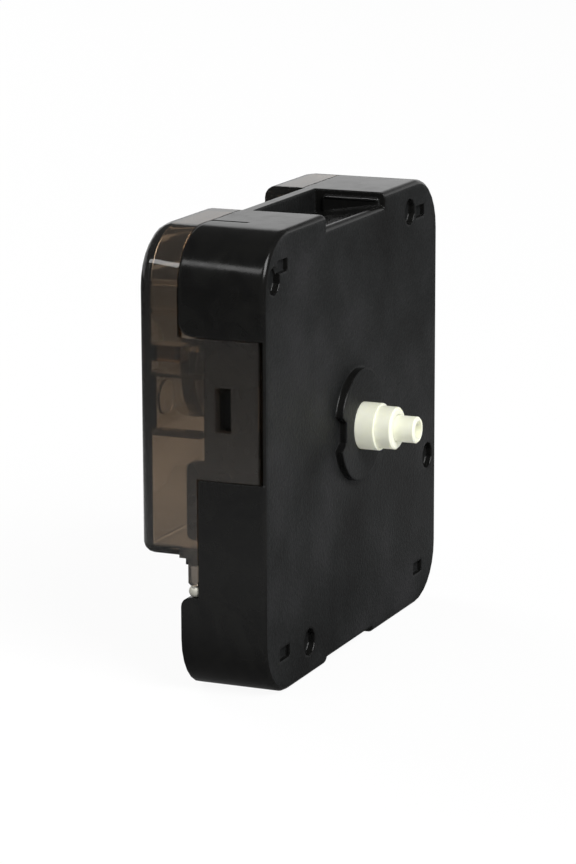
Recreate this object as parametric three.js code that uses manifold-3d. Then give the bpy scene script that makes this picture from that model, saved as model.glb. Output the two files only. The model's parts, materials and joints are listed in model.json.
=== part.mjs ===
// Quartz clock movement in a square moulded case.
// Millimetres, +Z up. The dial side faces -Y and the shaft runs along Y.
// The case stands on its lower edge, with the origin in the middle of its footprint.
import * as THREE from 'three';
import { mergeVertices } from 'three/addons/utils/BufferGeometryUtils.js';
import Module from 'manifold-3d';

const wasm = await Module();
wasm.setup();

// Case
const caseWidth = 56;
const caseHeight = 56;
const caseDepth = 16.4;
const caseCorner = 7;
const sideWall = 1.35;
const faceWall = 1.4;
const faceFillet = 0.8;
const housingDepth = 11.05;
const seamGap = 0.15;
const shaftHeight = 28.35;

// Boss round the shaft with a notch on either side, and the sinks in the face
const bossHeight = 1;
const bossRadius = 7.05;
const bossRise = 0.1;
const bossSides = 48;
const bossNotchReach = 5.4;
const bossNotchHalf = 1.3;
const bossNotchFlare = 1.1;
const faceHoleRadius = 1.75;
const faceHoleDepth = 0.9;
const faceHoleShares = [[-0.45, 0.903], [0.323, 0.935], [-0.266, 0.077], [0.44, 0.343]];
const faceMarkWidth = 3;
const faceMarkHeight = 1.6;
const faceMarkDepth = 0.6;
const faceMarkShares = [[-0.4, 0.089], [0.38, 0.086], [-0.406, 0.928], [0.386, 0.928]];

// Battery bay along the lower edge, for one AA cell
const cellRadius = 7.25;
const cellHeight = 8.5;
const cellClearance = 0.05;
const bayFloorWall = 1.2;
const bayRoofWall = 1;
const bayCorner = 4.5;
const notchLeft = -9.4;
const notchRight = 5.5;
const notchDepth = 1;
const notchChamfer = 0.6;
const notchReach = 3.4;

// Side walls of the housing, from the lower edge up
const humpHeight = 10.3;
const humpLedge = 12.15;
const humpRadius = 1.2;
const lowerWallDepth = 8.7;
const pocketLow = 26.6;
const pocketDrop = 12.25;
const pocketFront = 0.35;
const pocketWallDepth = 8.25;
const pocketWall = 1.25;
const pocketEdgeRadius = 1.8;
const guardLow = 19;
const guardHigh = 28.5;
const guardDepth = 10.6;
const guardRadius = 0.8;
const latchShare = 0.505;
const toothWidth = 4.5;
const toothFront = 4.6;
const toothBack = 6;
const toothRise = 0.8;

// Hanging recess across the top edge, with the bar that a hook goes behind
const recessHalf = 9.6;
const recessDropBack = 3;
const recessDropFront = 1.6;
const recessWall = 1.3;
const recessLip = 0.8;
const barFront = 9.5;
const barBack = 10.9;
const padThickness = 0.35;
const padFront = 0.8;
const padBack = 8.4;
const padDrop = 0.8;
const padHeight = 2;
const slotWidth = 1.4;
const slotFront = 4;
const slotBack = 6.5;
const slotAside = 2.7;
const slitWidth = 0.5;
const slitFront = 6.3;
const slitAside = 18;

// Back cover
const coverWall = 1.35;
const coverPlate = 1.45;
const coverFillet = 1.5;
const coverLow = 16.95;
const coverFloor = 1.05;
const coverFoot = 1.5;
const tabFront = 0.9;
const windowWidth = 5.4;
const windowFront = 4.3;
const windowBack = 6.4;
const tongueLow = 13.7;
const tongueBack = 10.05;
const tongueFlare = 0.95;
const channelBelow = 5.2;
const channelAbove = 1.6;
const channelDepth = 0.6;
const discRadius = 2.1;
const discRise = 0.25;
const discInset = 3.8;
const discBelow = 1.8;
const ribDrops = [6.6, 9.9];
const ribWidth = 0.5;
const ribRise = 0.7;
const shelfDrop = 1.45;
const shelfWidth = 1.9;
const shelfReach = 2.6;

// Setting knob
const knobAside = -13.3;
const knobHeight = 37.4;
const cupRadius = 6.4;
const cupWall = 1;
const cupDepth = 2.8;
const knobGap = 0.3;
const knobSunk = 0.3;
const knobRim = 0.9;
const knobDish = 0.7;
const knurlCount = 28;
const knurlDepth = 0.25;
const knobShaftRadius = 1.45;
const knobTangRadius = 1;
const knobTangLength = 1.5;
const pointerWidth = 1.1;

// Gear train: where the arbors stand round the shaft
const thirdReach = 8;
const thirdAngle = -165;
const middleReach = 8;
const middleAngle = 15;
const rotorReach = 5.6;
const rotorAngle = -35;
const motionSlackShare = 1.032;

// Gear train: counts of teeth
const rotorLeaves = 8;
const middleTeeth = 48;
const middleLeaves = 8;
const secondsTeeth = 40;
const secondsLeaves = 8;
const thirdTeeth = 60;
const thirdLeaves = 8;
const centreTeeth = 64;
const minuteLeaves = 12;
const motionTeeth = 36;
const motionLeaves = 10;
const hourTeeth = 40;
const knobLeaves = 12;

// Teeth, as shares of the module and of the tooth pitch
const toothTipShare = 0.72;
const toothRootShare = 1.15;
const toothFootShare = 0.54;
const toothCrestShare = 0.2;

// Gear train: thicknesses and gaps along the shaft
const endPlay = 0.3;
const hourThickness = 0.9;
const motionThickness = 0.8;
const wheelThickness = 0.55;
const leafMargin = 0.25;
const levelGap = 0.5;
const arborRadius = 0.45;
const pivotRadius = 0.28;
const pivotLength = 0.6;
const pivotBossRadius = 1.15;
const hubRadius = 1.5;
const runningGap = 0.06;
const wheelHoleShare = 0.19;
const holeCount = 4;

// Shaft pipes
const collarRadius = 2.95;
const collarLength = 2.4;
const hourPipeRadius = 2.65;
const hourPipeLength = 4.6;
const minutePipeRadius = 1.65;
const minutePipeLength = 7.3;
const tipBoreRadius = 1.1;
const tipBoreDepth = 1.7;
const pipeChamfer = 0.2;
const clutchRadius = 1.4;
const clutchHubRadius = 2.6;
const studRadius = 0.6;

// Motor
const magnetRadius = 2.6;
const magnetHeight = 2;
const magnetBore = 0.9;
const airGap = 0.35;
const statorThickness = 1;
const statorEyeWall = 1.25;
const statorBarWidth = 3.6;
const statorLegWidth = 3;
const statorLow = 19.2;
const statorDrop = 7.8;
const statorNotch = 0.5;
const coilGap = 0.6;
const coreWidth = 2.6;
const coreThickness = 1.2;
const coreOverhang = 1.6;
const flangeSide = 8.1;
const flangeThickness = 0.9;
const bobbinWall = 0.6;
const windingRadius = 3.7;
const windingCrown = 0.15;

// Gear bridge
const bridgeThickness = 0.9;
const bridgeArm = 1.9;
const postRadius = 1.3;
const pegRadius = 0.65;
const pegRise = 0.35;
const lowPostAside = -16.4;
const lowPostHeight = 23.1;
const highPostAside = 4.6;
const highPostRise = 8.25;
const bayPostAside = 3.9;
const bayPostHeight = 20.4;

// Circuit board
const boardLeft = 3;
const boardGap = 0.45;
const boardDrop = 4.7;
const boardTall = 6.1;
const boardRoom = 4.2;
const boardThickness = 1;
const boardPostInset = 1.9;
const chipRadius = 2.1;
const chipRise = 0.9;
const chipAside = 9;
const crystalRadius = 0.95;
const crystalLength = 5.6;
const crystalInset = 9.4;

// Battery contacts
const contactThickness = 0.3;
const contactGap = 0.3;
const contactWidth = 6;
const contactTop = 15.2;
const contactLow = 4.4;
const stripWidth = 1.6;
const stripSunk = 2.4;
const leftStripInset = 3.2;
const rightStripInset = 1;
const hookLow = 12.4;
const hookHigh = 13.55;
const hookBack = 9.9;
const hookLip = 0.15;
const dimpleRadius = 2.2;
const dimpleRise = 0.7;
const springReach = 3.2;
const springWidth = 4.2;
const springShares = [[0, 0], [0.35, 0.24], [0.75, 0.5], [1, 0.72], [0.92, 0.8]];

// Shared
const overrun = 1;
const seat = 0.3;
const cornerSteps = 4;
const smallSides = 10;
const roundSides = 28;
const caseSteps = 7;
const weld = 0.0001;

// Places worked out from the sizes above
const halfWidth = caseWidth / 2;
const innerHalf = halfWidth - sideWall;
const pocketFace = innerHalf - seamGap;
const pocketInner = pocketFace - pocketWall;
const cellDepth = faceWall + cellClearance + cellRadius;
const bayCeiling = cellHeight + cellRadius + cellClearance;
const worksFloor = bayCeiling + bayRoofWall;
const coverFront = housingDepth + seamGap;
const coverInner = caseDepth - coverPlate;
const pocketHigh = caseHeight - pocketDrop;
const latchHeight = pocketLow + (pocketHigh - pocketLow) * latchShare;
const recessFloorBack = caseHeight - recessDropBack;
const recessFloorFront = caseHeight - recessDropFront;
const cupFloorBack = caseDepth - cupDepth;
const cupFloorFront = cupFloorBack - cupWall;
const knobBack = caseDepth - knobSunk;
const knobFront = cupFloorBack + knobGap;
const knobRadius = cupRadius - cupWall - knobGap;
const bossFace = -bossHeight;
const tipFace = bossFace - minutePipeLength;

// Arbor positions on the face plane
const shaft = { x: 0, z: shaftHeight };
const knob = { x: knobAside, z: knobHeight };
const third = polar(shaft, thirdReach, thirdAngle);
const middle = polar(shaft, middleReach, middleAngle);
const rotor = polar(middle, rotorReach, rotorAngle);
const motionReach = distance(shaft, knob) / 2 * motionSlackShare;
const motion = elbow(shaft, knob, motionReach);

// Modules that make each pair of wheels meet between its arbors
const rotorModule = moduleFor(rotorReach, rotorLeaves, middleTeeth);
const middleModule = moduleFor(middleReach, middleLeaves, secondsTeeth);
const secondsModule = moduleFor(thirdReach, secondsLeaves, thirdTeeth);
const thirdModule = moduleFor(thirdReach, thirdLeaves, centreTeeth);
const minuteModule = moduleFor(motionReach, minuteLeaves, motionTeeth);
const hourModule = moduleFor(motionReach, motionLeaves, hourTeeth);

// Levels along the shaft, from the face wall to the bridge
const hourFront = faceWall + endPlay;
const hourBack = hourFront + hourThickness;
const motionFront = hourBack + levelGap;
const motionBack = motionFront + motionThickness;
const minuteLeafBack = motionBack + leafMargin;
const centreFront = minuteLeafBack + levelGap;
const centreBack = centreFront + wheelThickness;
const thirdFront = centreBack + levelGap;
const thirdBack = thirdFront + wheelThickness;
const secondsFront = thirdBack + levelGap;
const secondsBack = secondsFront + wheelThickness;
const middleFront = secondsBack + levelGap;
const middleBack = middleFront + wheelThickness;
const bridgeFront = middleBack + levelGap;
const bridgeBack = bridgeFront + bridgeThickness;

// Motor levels
const statorFront = centreBack + seat;
const statorBack = statorFront + statorThickness;
const statorMiddle = (statorFront + statorBack) / 2;
const coreFront = statorBack + seamGap;
const coreBack = coreFront + coreThickness;
const coilDepth = (coreFront + coreBack) / 2;
const coilAside = pocketInner - coilGap - flangeSide / 2;
const statorHigh = caseHeight - statorDrop;
const bobbinLow = statorLow + statorLegWidth + seat;
const bobbinHigh = statorHigh - statorLegWidth - seat;

// Circuit board, which hangs from the top edge at a set room in front of the cover
const boardFront = coverInner - boardRoom;
const boardRight = pocketInner - boardGap;
const boardHigh = caseHeight - boardDrop;
const boardLow = boardHigh - boardTall;
const stripTop = boardHigh - stripSunk;
const stripAsides = [coilAside - leftStripInset, coilAside - rightStripInset];

function polar(from, reach, angle) {
  const turn = THREE.MathUtils.degToRad(angle);
  return { x: from.x + reach * Math.cos(turn), z: from.z + reach * Math.sin(turn) };
}

function distance(a, b) {
  return Math.hypot(b.x - a.x, b.z - a.z);
}

function bearing(a, b) {
  return Math.atan2(b.z - a.z, b.x - a.x);
}

// The point at one reach from both ends, on the upper side of the line between them
function elbow(a, b, reach) {
  const half = distance(a, b) / 2;
  const rise = Math.sqrt(reach * reach - half * half);
  const across = bearing(a, b) - Math.PI / 2;
  return {
    x: (a.x + b.x) / 2 + rise * Math.cos(across),
    z: (a.z + b.z) / 2 + rise * Math.sin(across),
  };
}

function moduleFor(reach, leaves, teeth) {
  return 2 * reach / (leaves + teeth);
}

// Solids
function solidFrom(geometry) {
  const bare = geometry.clone();
  bare.deleteAttribute('normal');
  bare.deleteAttribute('uv');
  const welded = mergeVertices(bare, weld);
  const index = welded.index.array;
  const kept = [];
  for (let i = 0; i < index.length; i += 3) {
    const [a, b, c] = [index[i], index[i + 1], index[i + 2]];
    if (a !== b && b !== c && c !== a) kept.push(a, b, c);
  }
  return new wasm.Manifold(new wasm.Mesh({
    numProp: 3,
    vertProperties: new Float32Array(welded.attributes.position.array),
    triVerts: new Uint32Array(kept),
  }));
}

function geometryFrom(solid) {
  const mesh = solid.getMesh();
  const geometry = new THREE.BufferGeometry();
  geometry.setAttribute('position', new THREE.BufferAttribute(mesh.vertProperties, 3));
  geometry.setIndex(new THREE.BufferAttribute(mesh.triVerts, 1));
  geometry.computeVertexNormals();
  return geometry;
}

function join(first, ...others) {
  return others.reduce((whole, piece) => whole.add(piece), first);
}

function cut(first, ...tools) {
  return tools.reduce((whole, tool) => whole.subtract(tool), first);
}

// Outlines, as lists of points that run anticlockwise
function arc(x, y, radius, from, to, steps) {
  return Array.from({ length: steps + 1 }, (_, i) => {
    const turn = from + (to - from) * i / steps;
    return new THREE.Vector2(x + radius * Math.cos(turn), y + radius * Math.sin(turn));
  });
}

function circle(x, y, radius, sides) {
  return arc(x, y, radius, 0, 2 * Math.PI, sides).slice(0, -1);
}

// A rectangle with its corners rounded: low left, low right, high right, high left
function rounded(left, low, right, high, radii, steps = cornerSteps) {
  const [a, b, c, d] = radii.map((radius) => Math.max(radius, weld));
  const quarter = Math.PI / 2;
  return [
    ...arc(left + a, low + a, a, 2 * quarter, 3 * quarter, steps),
    ...arc(right - b, low + b, b, 3 * quarter, 4 * quarter, steps),
    ...arc(right - c, high - c, c, 0, quarter, steps),
    ...arc(left + d, high - d, d, quarter, 2 * quarter, steps),
  ];
}

function rectangle(left, low, right, high) {
  return points([[left, low], [right, low], [right, high], [left, high]]);
}

function points(pairs) {
  return pairs.map(([x, y]) => new THREE.Vector2(x, y));
}

// The outline of a bar with round ends between two points of the face plane
function link(a, b, radius) {
  const turn = bearing(a, b);
  const quarter = Math.PI / 2;
  return [
    ...arc(a.x, a.z, radius, turn + quarter, turn + 3 * quarter, 2 * cornerSteps),
    ...arc(b.x, b.z, radius, turn - quarter, turn + quarter, 2 * cornerSteps),
  ];
}

// Prisms: an outline pushed along one axis, given in the plane of the other two
const towardsFace = new THREE.Matrix4().makeBasis(
  new THREE.Vector3(1, 0, 0), new THREE.Vector3(0, 0, 1), new THREE.Vector3(0, -1, 0));
const towardsRight = new THREE.Matrix4().makeBasis(
  new THREE.Vector3(0, 1, 0), new THREE.Vector3(0, 0, 1), new THREE.Vector3(1, 0, 0));

function extruded(outline, length) {
  return new THREE.ExtrudeGeometry(new THREE.Shape(outline), { depth: length, bevelEnabled: false });
}

function alongY(outline, front, back) {
  return solidFrom(extruded(outline, back - front).applyMatrix4(towardsFace).translate(0, back, 0));
}

function alongX(outline, left, right) {
  return solidFrom(extruded(outline, right - left).applyMatrix4(towardsRight).translate(left, 0, 0));
}

function alongZ(outline, low, high) {
  return solidFrom(extruded(outline, high - low).translate(0, 0, low));
}

function block(left, front, low, right, back, high) {
  return alongY(rectangle(left, low, right, high), front, back);
}

// A turned solid round an axis along Y; the profile is a list of [radius, y], front first
function turned(at, profile, sides) {
  const outline = profile.map(([radius, y]) => new THREE.Vector2(radius, y));
  return solidFrom(new THREE.LatheGeometry(outline, sides).translate(at.x, 0, at.z));
}

function rod(at, radius, front, back, sides = smallSides) {
  return turned(at, [[0, front], [radius, front], [radius, back], [0, back]], sides);
}

// A block along Y whose front or back edge is rounded all the way round.
// Its outline is asked for at each inset, and always has as many points.
function stack(outlineAt, levels) {
  const rings = levels.map(([inset]) => outlineAt(inset));
  const count = rings[0].length;
  const position = [];
  levels.forEach(([, y], level) => rings[level].forEach((p) => position.push(p.x, y, p.y)));
  const index = [];
  for (let level = 0; level < levels.length - 1; level += 1) {
    for (let i = 0; i < count; i += 1) {
      const near = level * count;
      const far = near + count;
      const next = (i + 1) % count;
      index.push(near + i, far + i, near + next, near + next, far + i, far + next);
    }
  }
  const last = (levels.length - 1) * count;
  THREE.ShapeUtils.triangulateShape(rings[0], []).forEach(([a, b, c]) => index.push(a, b, c));
  THREE.ShapeUtils.triangulateShape(rings[levels.length - 1], [])
    .forEach(([a, b, c]) => index.push(last + a, last + c, last + b));
  const geometry = new THREE.BufferGeometry();
  geometry.setAttribute('position', new THREE.Float32BufferAttribute(position, 3));
  geometry.setIndex(index);
  return solidFrom(geometry);
}

function roundedFront(front, back, radius) {
  const levels = arc(0, 0, radius, 0, Math.PI / 2, cornerSteps)
    .map((p) => [radius - p.y, front + radius - p.x]);
  return [...levels, [0, back]];
}

function roundedBack(front, back, radius) {
  const levels = arc(0, 0, radius, 0, Math.PI / 2, cornerSteps)
    .map((p) => [radius - p.x, back - radius + p.y]);
  return [[0, front], ...levels];
}

function mirrored(solid) {
  return solid.mirror([1, 0, 0]);
}

function onBothSides(solid) {
  return join(solid, mirrored(solid));
}

// Toothed wheels
function toothed(at, teeth, size, phase, front, back) {
  const pitch = 2 * Math.PI / teeth;
  const radius = teeth * size / 2;
  const root = radius - toothRootShare * size;
  const tip = radius + toothTipShare * size;
  const outline = [];
  for (let i = 0; i < teeth; i += 1) {
    const turn = phase + i * pitch;
    const foot = pitch * toothFootShare / 2;
    const crest = pitch * toothCrestShare / 2;
    [[root, -foot], [tip, -crest], [tip, crest], [root, foot]].forEach(([reach, aside]) => {
      const angle = turn + aside;
      outline.push([at.x + reach * Math.cos(angle), at.z + reach * Math.sin(angle)]);
    });
  }
  return alongY(points(outline), front, back);
}

// The turn of a wheel that puts its gap where the tooth of its driver stands
function meshed(driver, driverTeeth, driverPhase, wheel, wheelTeeth) {
  const line = bearing(driver, wheel);
  const carried = (driverPhase - line) * driverTeeth / wheelTeeth;
  return line + Math.PI + Math.PI / wheelTeeth - carried;
}

const middlePhase = meshed(rotor, rotorLeaves, 0, middle, middleTeeth);
const secondsPhase = meshed(middle, middleLeaves, 0, shaft, secondsTeeth);
const thirdPhase = meshed(shaft, secondsLeaves, 0, third, thirdTeeth);
const centrePhase = meshed(third, thirdLeaves, 0, shaft, centreTeeth);
const motionPhase = meshed(shaft, minuteLeaves, 0, motion, motionTeeth);
const hourPhase = meshed(motion, motionLeaves, 0, shaft, hourTeeth);
const knobPhase = meshed(motion, motionTeeth, motionPhase, knob, knobLeaves);

// Round holes through the web of a wheel, between its hub and its rim
function webHoles(at, hub, rim, count, front, back) {
  const reach = (hub + rim) / 2;
  const radius = (rim - hub) * wheelHoleShare;
  return Array.from({ length: count }, (_, i) => {
    const centre = polar(at, reach, 360 * i / count);
    return rod(centre, radius, front - overrun, back + overrun);
  });
}

function rimOf(teeth, size) {
  return teeth * size / 2 - toothRootShare * size;
}

function frontPivot(at, front) {
  return rod(at, pivotRadius, faceWall - pivotLength + seat, front);
}

function backPivot(at) {
  return rod(at, pivotRadius, bridgeFront - endPlay, bridgeFront + pivotLength);
}

function arbor(at, from = faceWall + endPlay) {
  return join(
    rod(at, arborRadius, from, bridgeFront - endPlay),
    frontPivot(at, from),
    backPivot(at),
  );
}

// Front housing
function caseOutline(inset) {
  const corner = caseCorner - inset;
  return rounded(
    inset - halfWidth, inset, halfWidth - inset, caseHeight - inset,
    [corner, corner, corner, corner], caseSteps);
}

function faceBoss() {
  const centre = shaftHeight + bossRise;
  const disc = rod({ x: 0, z: centre }, bossRadius, bossFace, faceWall, bossSides);
  const notch = alongY(points([
    [-bossRadius - overrun, centre - bossNotchHalf - bossNotchFlare],
    [-bossRadius, centre - bossNotchHalf - bossNotchFlare],
    [-bossNotchReach, centre - bossNotchHalf],
    [-bossNotchReach, centre + bossNotchHalf],
    [-bossRadius, centre + bossNotchHalf + bossNotchFlare],
    [-bossRadius - overrun, centre + bossNotchHalf + bossNotchFlare],
  ]), bossFace - overrun, 0);
  return cut(disc, onBothSides(notch));
}

function worksCavity() {
  const corner = caseCorner - sideWall;
  const outline = rounded(
    -innerHalf, worksFloor, innerHalf, caseHeight - sideWall, [0, 0, corner, corner], caseSteps);
  return alongY(outline, faceWall, housingDepth + overrun);
}

function batteryBay() {
  const outline = rounded(-innerHalf, bayFloorWall, innerHalf, bayCeiling, [bayCorner, bayCorner, 0, 0]);
  const saddle = block(
    notchLeft - bayFloorWall, 0, 0, notchRight + bayFloorWall, notchReach, bayFloorWall + notchDepth);
  return cut(alongY(outline, faceWall, housingDepth + overrun), saddle);
}

// The lower edge is drawn in under the middle of the bay, and open behind that
function lowerNotch() {
  const outline = points([
    [notchLeft - notchChamfer - overrun, -overrun],
    [notchRight + notchChamfer + overrun, -overrun],
    [notchRight + notchChamfer, 0],
    [notchRight, notchDepth],
    [notchLeft, notchDepth],
    [notchLeft - notchChamfer, 0],
  ]);
  const window = block(
    notchLeft, notchReach, -overrun, notchRight, housingDepth + overrun, bayFloorWall + notchDepth);
  return join(alongY(outline, -overrun, housingDepth + overrun), window);
}

// What is cut away behind the left side wall, seen from the side as [y, z]
function sideCut() {
  const ledge = [
    [lowerWallDepth, humpLedge],
    ...arc(housingDepth - humpRadius, humpLedge - humpRadius, humpRadius, Math.PI / 2, 0, cornerSteps)
      .map((p) => [p.x, p.y]),
  ];
  const outline = points([
    [lowerWallDepth, pocketLow],
    ...ledge,
    [housingDepth, humpHeight],
    [housingDepth + overrun, humpHeight],
    [housingDepth + overrun, pocketLow],
  ]);
  return alongX(outline.reverse(), -halfWidth - overrun, -pocketFace);
}

// The sunk field that the cover's latch tab lies in
function latchPocket() {
  const corner = arc(
    housingDepth - pocketEdgeRadius, pocketHigh + pocketEdgeRadius, pocketEdgeRadius,
    0, -Math.PI / 2, cornerSteps).map((p) => [p.x, p.y]);
  const outline = points([
    [housingDepth, pocketHigh + pocketEdgeRadius],
    [housingDepth + overrun, pocketHigh + pocketEdgeRadius],
    [housingDepth + overrun, pocketLow],
    [pocketFront, pocketLow],
    [pocketFront, pocketHigh],
    ...corner.reverse().slice(0, -1),
  ]);
  return alongX(outline.reverse(), -halfWidth - overrun, -pocketFace);
}

function latchWall() {
  const wall = block(
    -pocketFace - seamGap, faceWall - seamGap, pocketLow - pocketWall,
    -pocketInner, pocketWallDepth, pocketHigh + pocketWall);
  const guard = alongX(
    rounded(faceWall - seamGap, guardLow, guardDepth, guardHigh, [0, guardRadius, guardRadius, 0]),
    -pocketFace, -pocketInner);
  return join(wall, guard);
}

function latchTooth() {
  const outline = points([
    [-pocketFace + overrun, toothFront], [-pocketFace + overrun, toothBack],
    [-pocketFace, toothBack], [-pocketFace - toothRise, toothFront],
  ]);
  return alongZ(outline.reverse(), latchHeight - toothWidth / 2, latchHeight + toothWidth / 2);
}

// The hanging recess: the body that closes the case under it, and the space above
function recessBody() {
  const outline = points([
    [0, recessFloorFront - recessWall - recessLip],
    [barBack, recessFloorBack - recessWall],
    [barBack, caseHeight],
    [0, caseHeight],
  ]);
  const side = recessHalf + recessWall;
  const shell = stack(caseOutline, roundedFront(0, housingDepth, faceFillet));
  return alongX(outline, -side, side).intersect(shell);
}

function recessSpace() {
  const lip = arc(recessLip, recessFloorFront - recessLip, recessLip, Math.PI, Math.PI / 2, cornerSteps);
  const front = points([
    [barFront, recessFloorBack],
    [barFront, caseHeight + overrun],
    [-overrun, caseHeight + overrun],
    [-overrun, recessFloorFront - recessLip],
  ]);
  const behind = block(
    -recessHalf, barBack, recessFloorBack - recessWall - overrun,
    recessHalf, housingDepth + overrun, caseHeight + overrun);
  return join(alongX([...front, ...lip], -recessHalf, recessHalf), behind);
}

function recessPad() {
  const high = caseHeight - padDrop;
  return alongX(
    rounded(padFront, high - padHeight, padBack, high, [seat, seat, seat, seat]),
    -recessHalf - seamGap, -recessHalf + padThickness);
}

function faceSinks() {
  const holes = faceHoleShares.map(([across, up]) => rod(
    { x: across * caseWidth, z: up * caseHeight }, faceHoleRadius, -overrun, faceHoleDepth));
  const marks = faceMarkShares.map(([across, up]) => block(
    across * caseWidth - faceMarkWidth / 2, -overrun, up * caseHeight - faceMarkHeight / 2,
    across * caseWidth + faceMarkWidth / 2, faceMarkDepth, up * caseHeight + faceMarkHeight / 2));
  return [...holes, ...marks];
}

function pivotBoss(at) {
  return rod(at, pivotBossRadius, faceWall - seamGap, hourFront - seamGap);
}

function pivotHole(at) {
  return rod(at, pivotRadius + runningGap, faceWall - pivotLength, hourFront + overrun);
}

function post(aside, height, top) {
  const at = { x: aside, z: height };
  return join(
    rod(at, postRadius, faceWall - seamGap, top - seamGap),
    rod(at, pegRadius, top - seat - seamGap, top + bridgeThickness + pegRise),
  );
}

const bridgePosts = [
  [lowPostAside, lowPostHeight], [highPostAside, shaftHeight + highPostRise], [bayPostAside, bayPostHeight]];
const boardPosts = [
  [boardLeft + boardPostInset, boardHigh - boardPostInset],
  [boardRight - boardPostInset, boardHigh - boardPostInset]];

function stripSlots() {
  return stripAsides.map((aside) => block(
    aside - contactGap, faceWall, bayCeiling - overrun,
    aside + stripWidth + contactGap, faceWall + contactThickness + 2 * contactGap, worksFloor + overrun));
}

function frontHousing() {
  const shell = stack(caseOutline, roundedFront(0, housingDepth, faceFillet));
  const hollow = cut(shell, worksCavity(), batteryBay(), lowerNotch());
  const walled = cut(
    join(hollow, onBothSides(latchWall()), faceBoss()),
    onBothSides(sideCut()), onBothSides(latchPocket()));
  const hung = cut(
    join(walled, recessBody()),
    recessSpace(),
    block(slotAside - slotWidth / 2, slotFront, recessFloorBack - recessWall - overrun,
      slotAside + slotWidth / 2, slotBack, caseHeight),
    block(-slitAside - slitWidth, slitFront, caseHeight - slitWidth,
      -slitAside, housingDepth + overrun, caseHeight + overrun));
  const furnished = join(
    hung,
    onBothSides(latchTooth()),
    onBothSides(recessPad()),
    ...[third, middle, rotor, knob].map(pivotBoss),
    rod(motion, studRadius, faceWall - seamGap, centreFront - seat),
    ...bridgePosts.map(([aside, height]) => post(aside, height, bridgeFront)),
    ...boardPosts.map(([aside, height]) => post(aside, height, boardFront)),
  );
  return cut(
    furnished,
    rod(shaft, collarRadius + runningGap, bossFace - overrun, faceWall + overrun, roundSides),
    ...[third, middle, rotor, knob].map(pivotHole),
    ...faceSinks(),
    ...stripSlots(),
  );
}

// Back cover
function coverOutline(inset) {
  const top = caseCorner - inset;
  const foot = Math.max(coverFoot - inset, weld);
  return rounded(
    inset - halfWidth, coverLow + inset, halfWidth - inset, caseHeight - inset,
    [foot, foot, top, top], caseSteps);
}

const coverLevels = roundedBack(coverFront, caseDepth, coverFillet);

function coverHollow() {
  const left = -halfWidth + coverWall;
  const top = caseCorner - coverWall;
  const floor = coverLow + coverFloor;
  return alongY(
    rounded(left, floor, -left, caseHeight - coverWall, [seat, seat, top, top], caseSteps),
    0, coverInner);
}

function coverSides() {
  const tab = block(
    -halfWidth, tabFront, pocketLow + seamGap,
    -halfWidth + coverWall, coverFront + overrun, pocketHigh - seamGap);
  const lower = block(
    -halfWidth, lowerWallDepth + seamGap, coverLow + coverFloor,
    -halfWidth + coverWall, coverFront + overrun, pocketLow + seamGap + overrun);
  const floor = block(
    -pocketFace, lowerWallDepth + seat, coverLow, pocketFace, coverFront + overrun, coverLow + coverFloor);
  const window = block(
    -halfWidth - overrun, windowFront, latchHeight - windowWidth / 2,
    -halfWidth + coverWall + overrun, windowBack, latchHeight + windowWidth / 2);
  return join(cut(onBothSides(join(tab, lower)), onBothSides(window)), floor, onBothSides(tongue()));
}

// The side wall's tongue over the end of the battery bay, seen from the side as [y, z]
function tongue() {
  const wallEdge = lowerWallDepth + seamGap;
  const bend = arc(
    tongueBack + tongueFlare, tongueLow + tongueFlare + (coverLow - tongueLow) / 2, tongueFlare,
    Math.PI, 3 * Math.PI / 4, cornerSteps).map((p) => [p.x, p.y]);
  const outline = points([
    [wallEdge, coverLow + coverFloor + seat],
    [wallEdge, tongueLow],
    [tongueBack - seat, tongueLow],
    [tongueBack, tongueLow + seat],
    ...bend,
    [coverFront, coverLow],
    [coverFront, coverLow + coverFloor + seat],
  ]);
  return alongX(outline, -halfWidth, -halfWidth + coverWall);
}

function coverRecess() {
  const side = recessHalf;
  const space = block(
    -side, 0, recessFloorBack, side, caseDepth + overrun, caseHeight + overrun);
  const body = block(
    -side - coverWall, coverFront, recessFloorBack - recessWall, side + coverWall, caseDepth, caseHeight);
  return { space, body: body.intersect(stack(coverOutline, coverLevels)) };
}

function knobCup() {
  return turned(knob, [
    [0, cupFloorFront], [cupRadius, cupFloorFront], [cupRadius, caseDepth - seat],
    [0, caseDepth - seat]], roundSides);
}

function knobCupSpace() {
  const inner = cupRadius - cupWall;
  return join(
    rod(knob, inner, cupFloorBack, caseDepth + overrun, roundSides),
    rod(knob, knobShaftRadius + runningGap, cupFloorFront - overrun, cupFloorBack + overrun, roundSides),
  );
}

// The finger channel beside the knob is sunk outside and stands proud inside
function fingerChannel() {
  const left = -halfWidth + coverWall;
  const low = knob.z - channelBelow;
  const high = knob.z + channelAbove;
  const proud = block(
    left - seat, coverInner - channelDepth, low, knob.x, coverInner + seat, high);
  const sunk = block(
    left + coverWall, caseDepth - channelDepth, low + coverWall,
    knob.x, caseDepth + overrun, high - coverWall);
  const disc = rod(
    { x: discInset - halfWidth, z: knob.z - discBelow }, discRadius,
    coverInner - channelDepth - discRise, coverInner, roundSides);
  return { proud: join(proud, disc), sunk };
}

function coverRibs() {
  const left = -halfWidth + coverWall - seat;
  const ribs = ribDrops.map((drop) => caseHeight - drop).map((height) => block(
    left, coverFront, height, left + seat + ribRise, coverInner + seat, height + ribWidth));
  const shelfHigh = pocketHigh - shelfDrop;
  const shelf = block(
    left, coverFront, shelfHigh - shelfWidth, left + seat + shelfReach, coverInner + seat, shelfHigh);
  return [...ribs, shelf].map(onBothSides);
}

function backCover() {
  const shell = cut(stack(coverOutline, coverLevels), coverHollow());
  const recess = coverRecess();
  const channel = fingerChannel();
  const whole = join(shell, recess.body, coverSides(), knobCup(), channel.proud, ...coverRibs());
  return cut(whole, recess.space, knobCupSpace(), channel.sunk);
}

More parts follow.
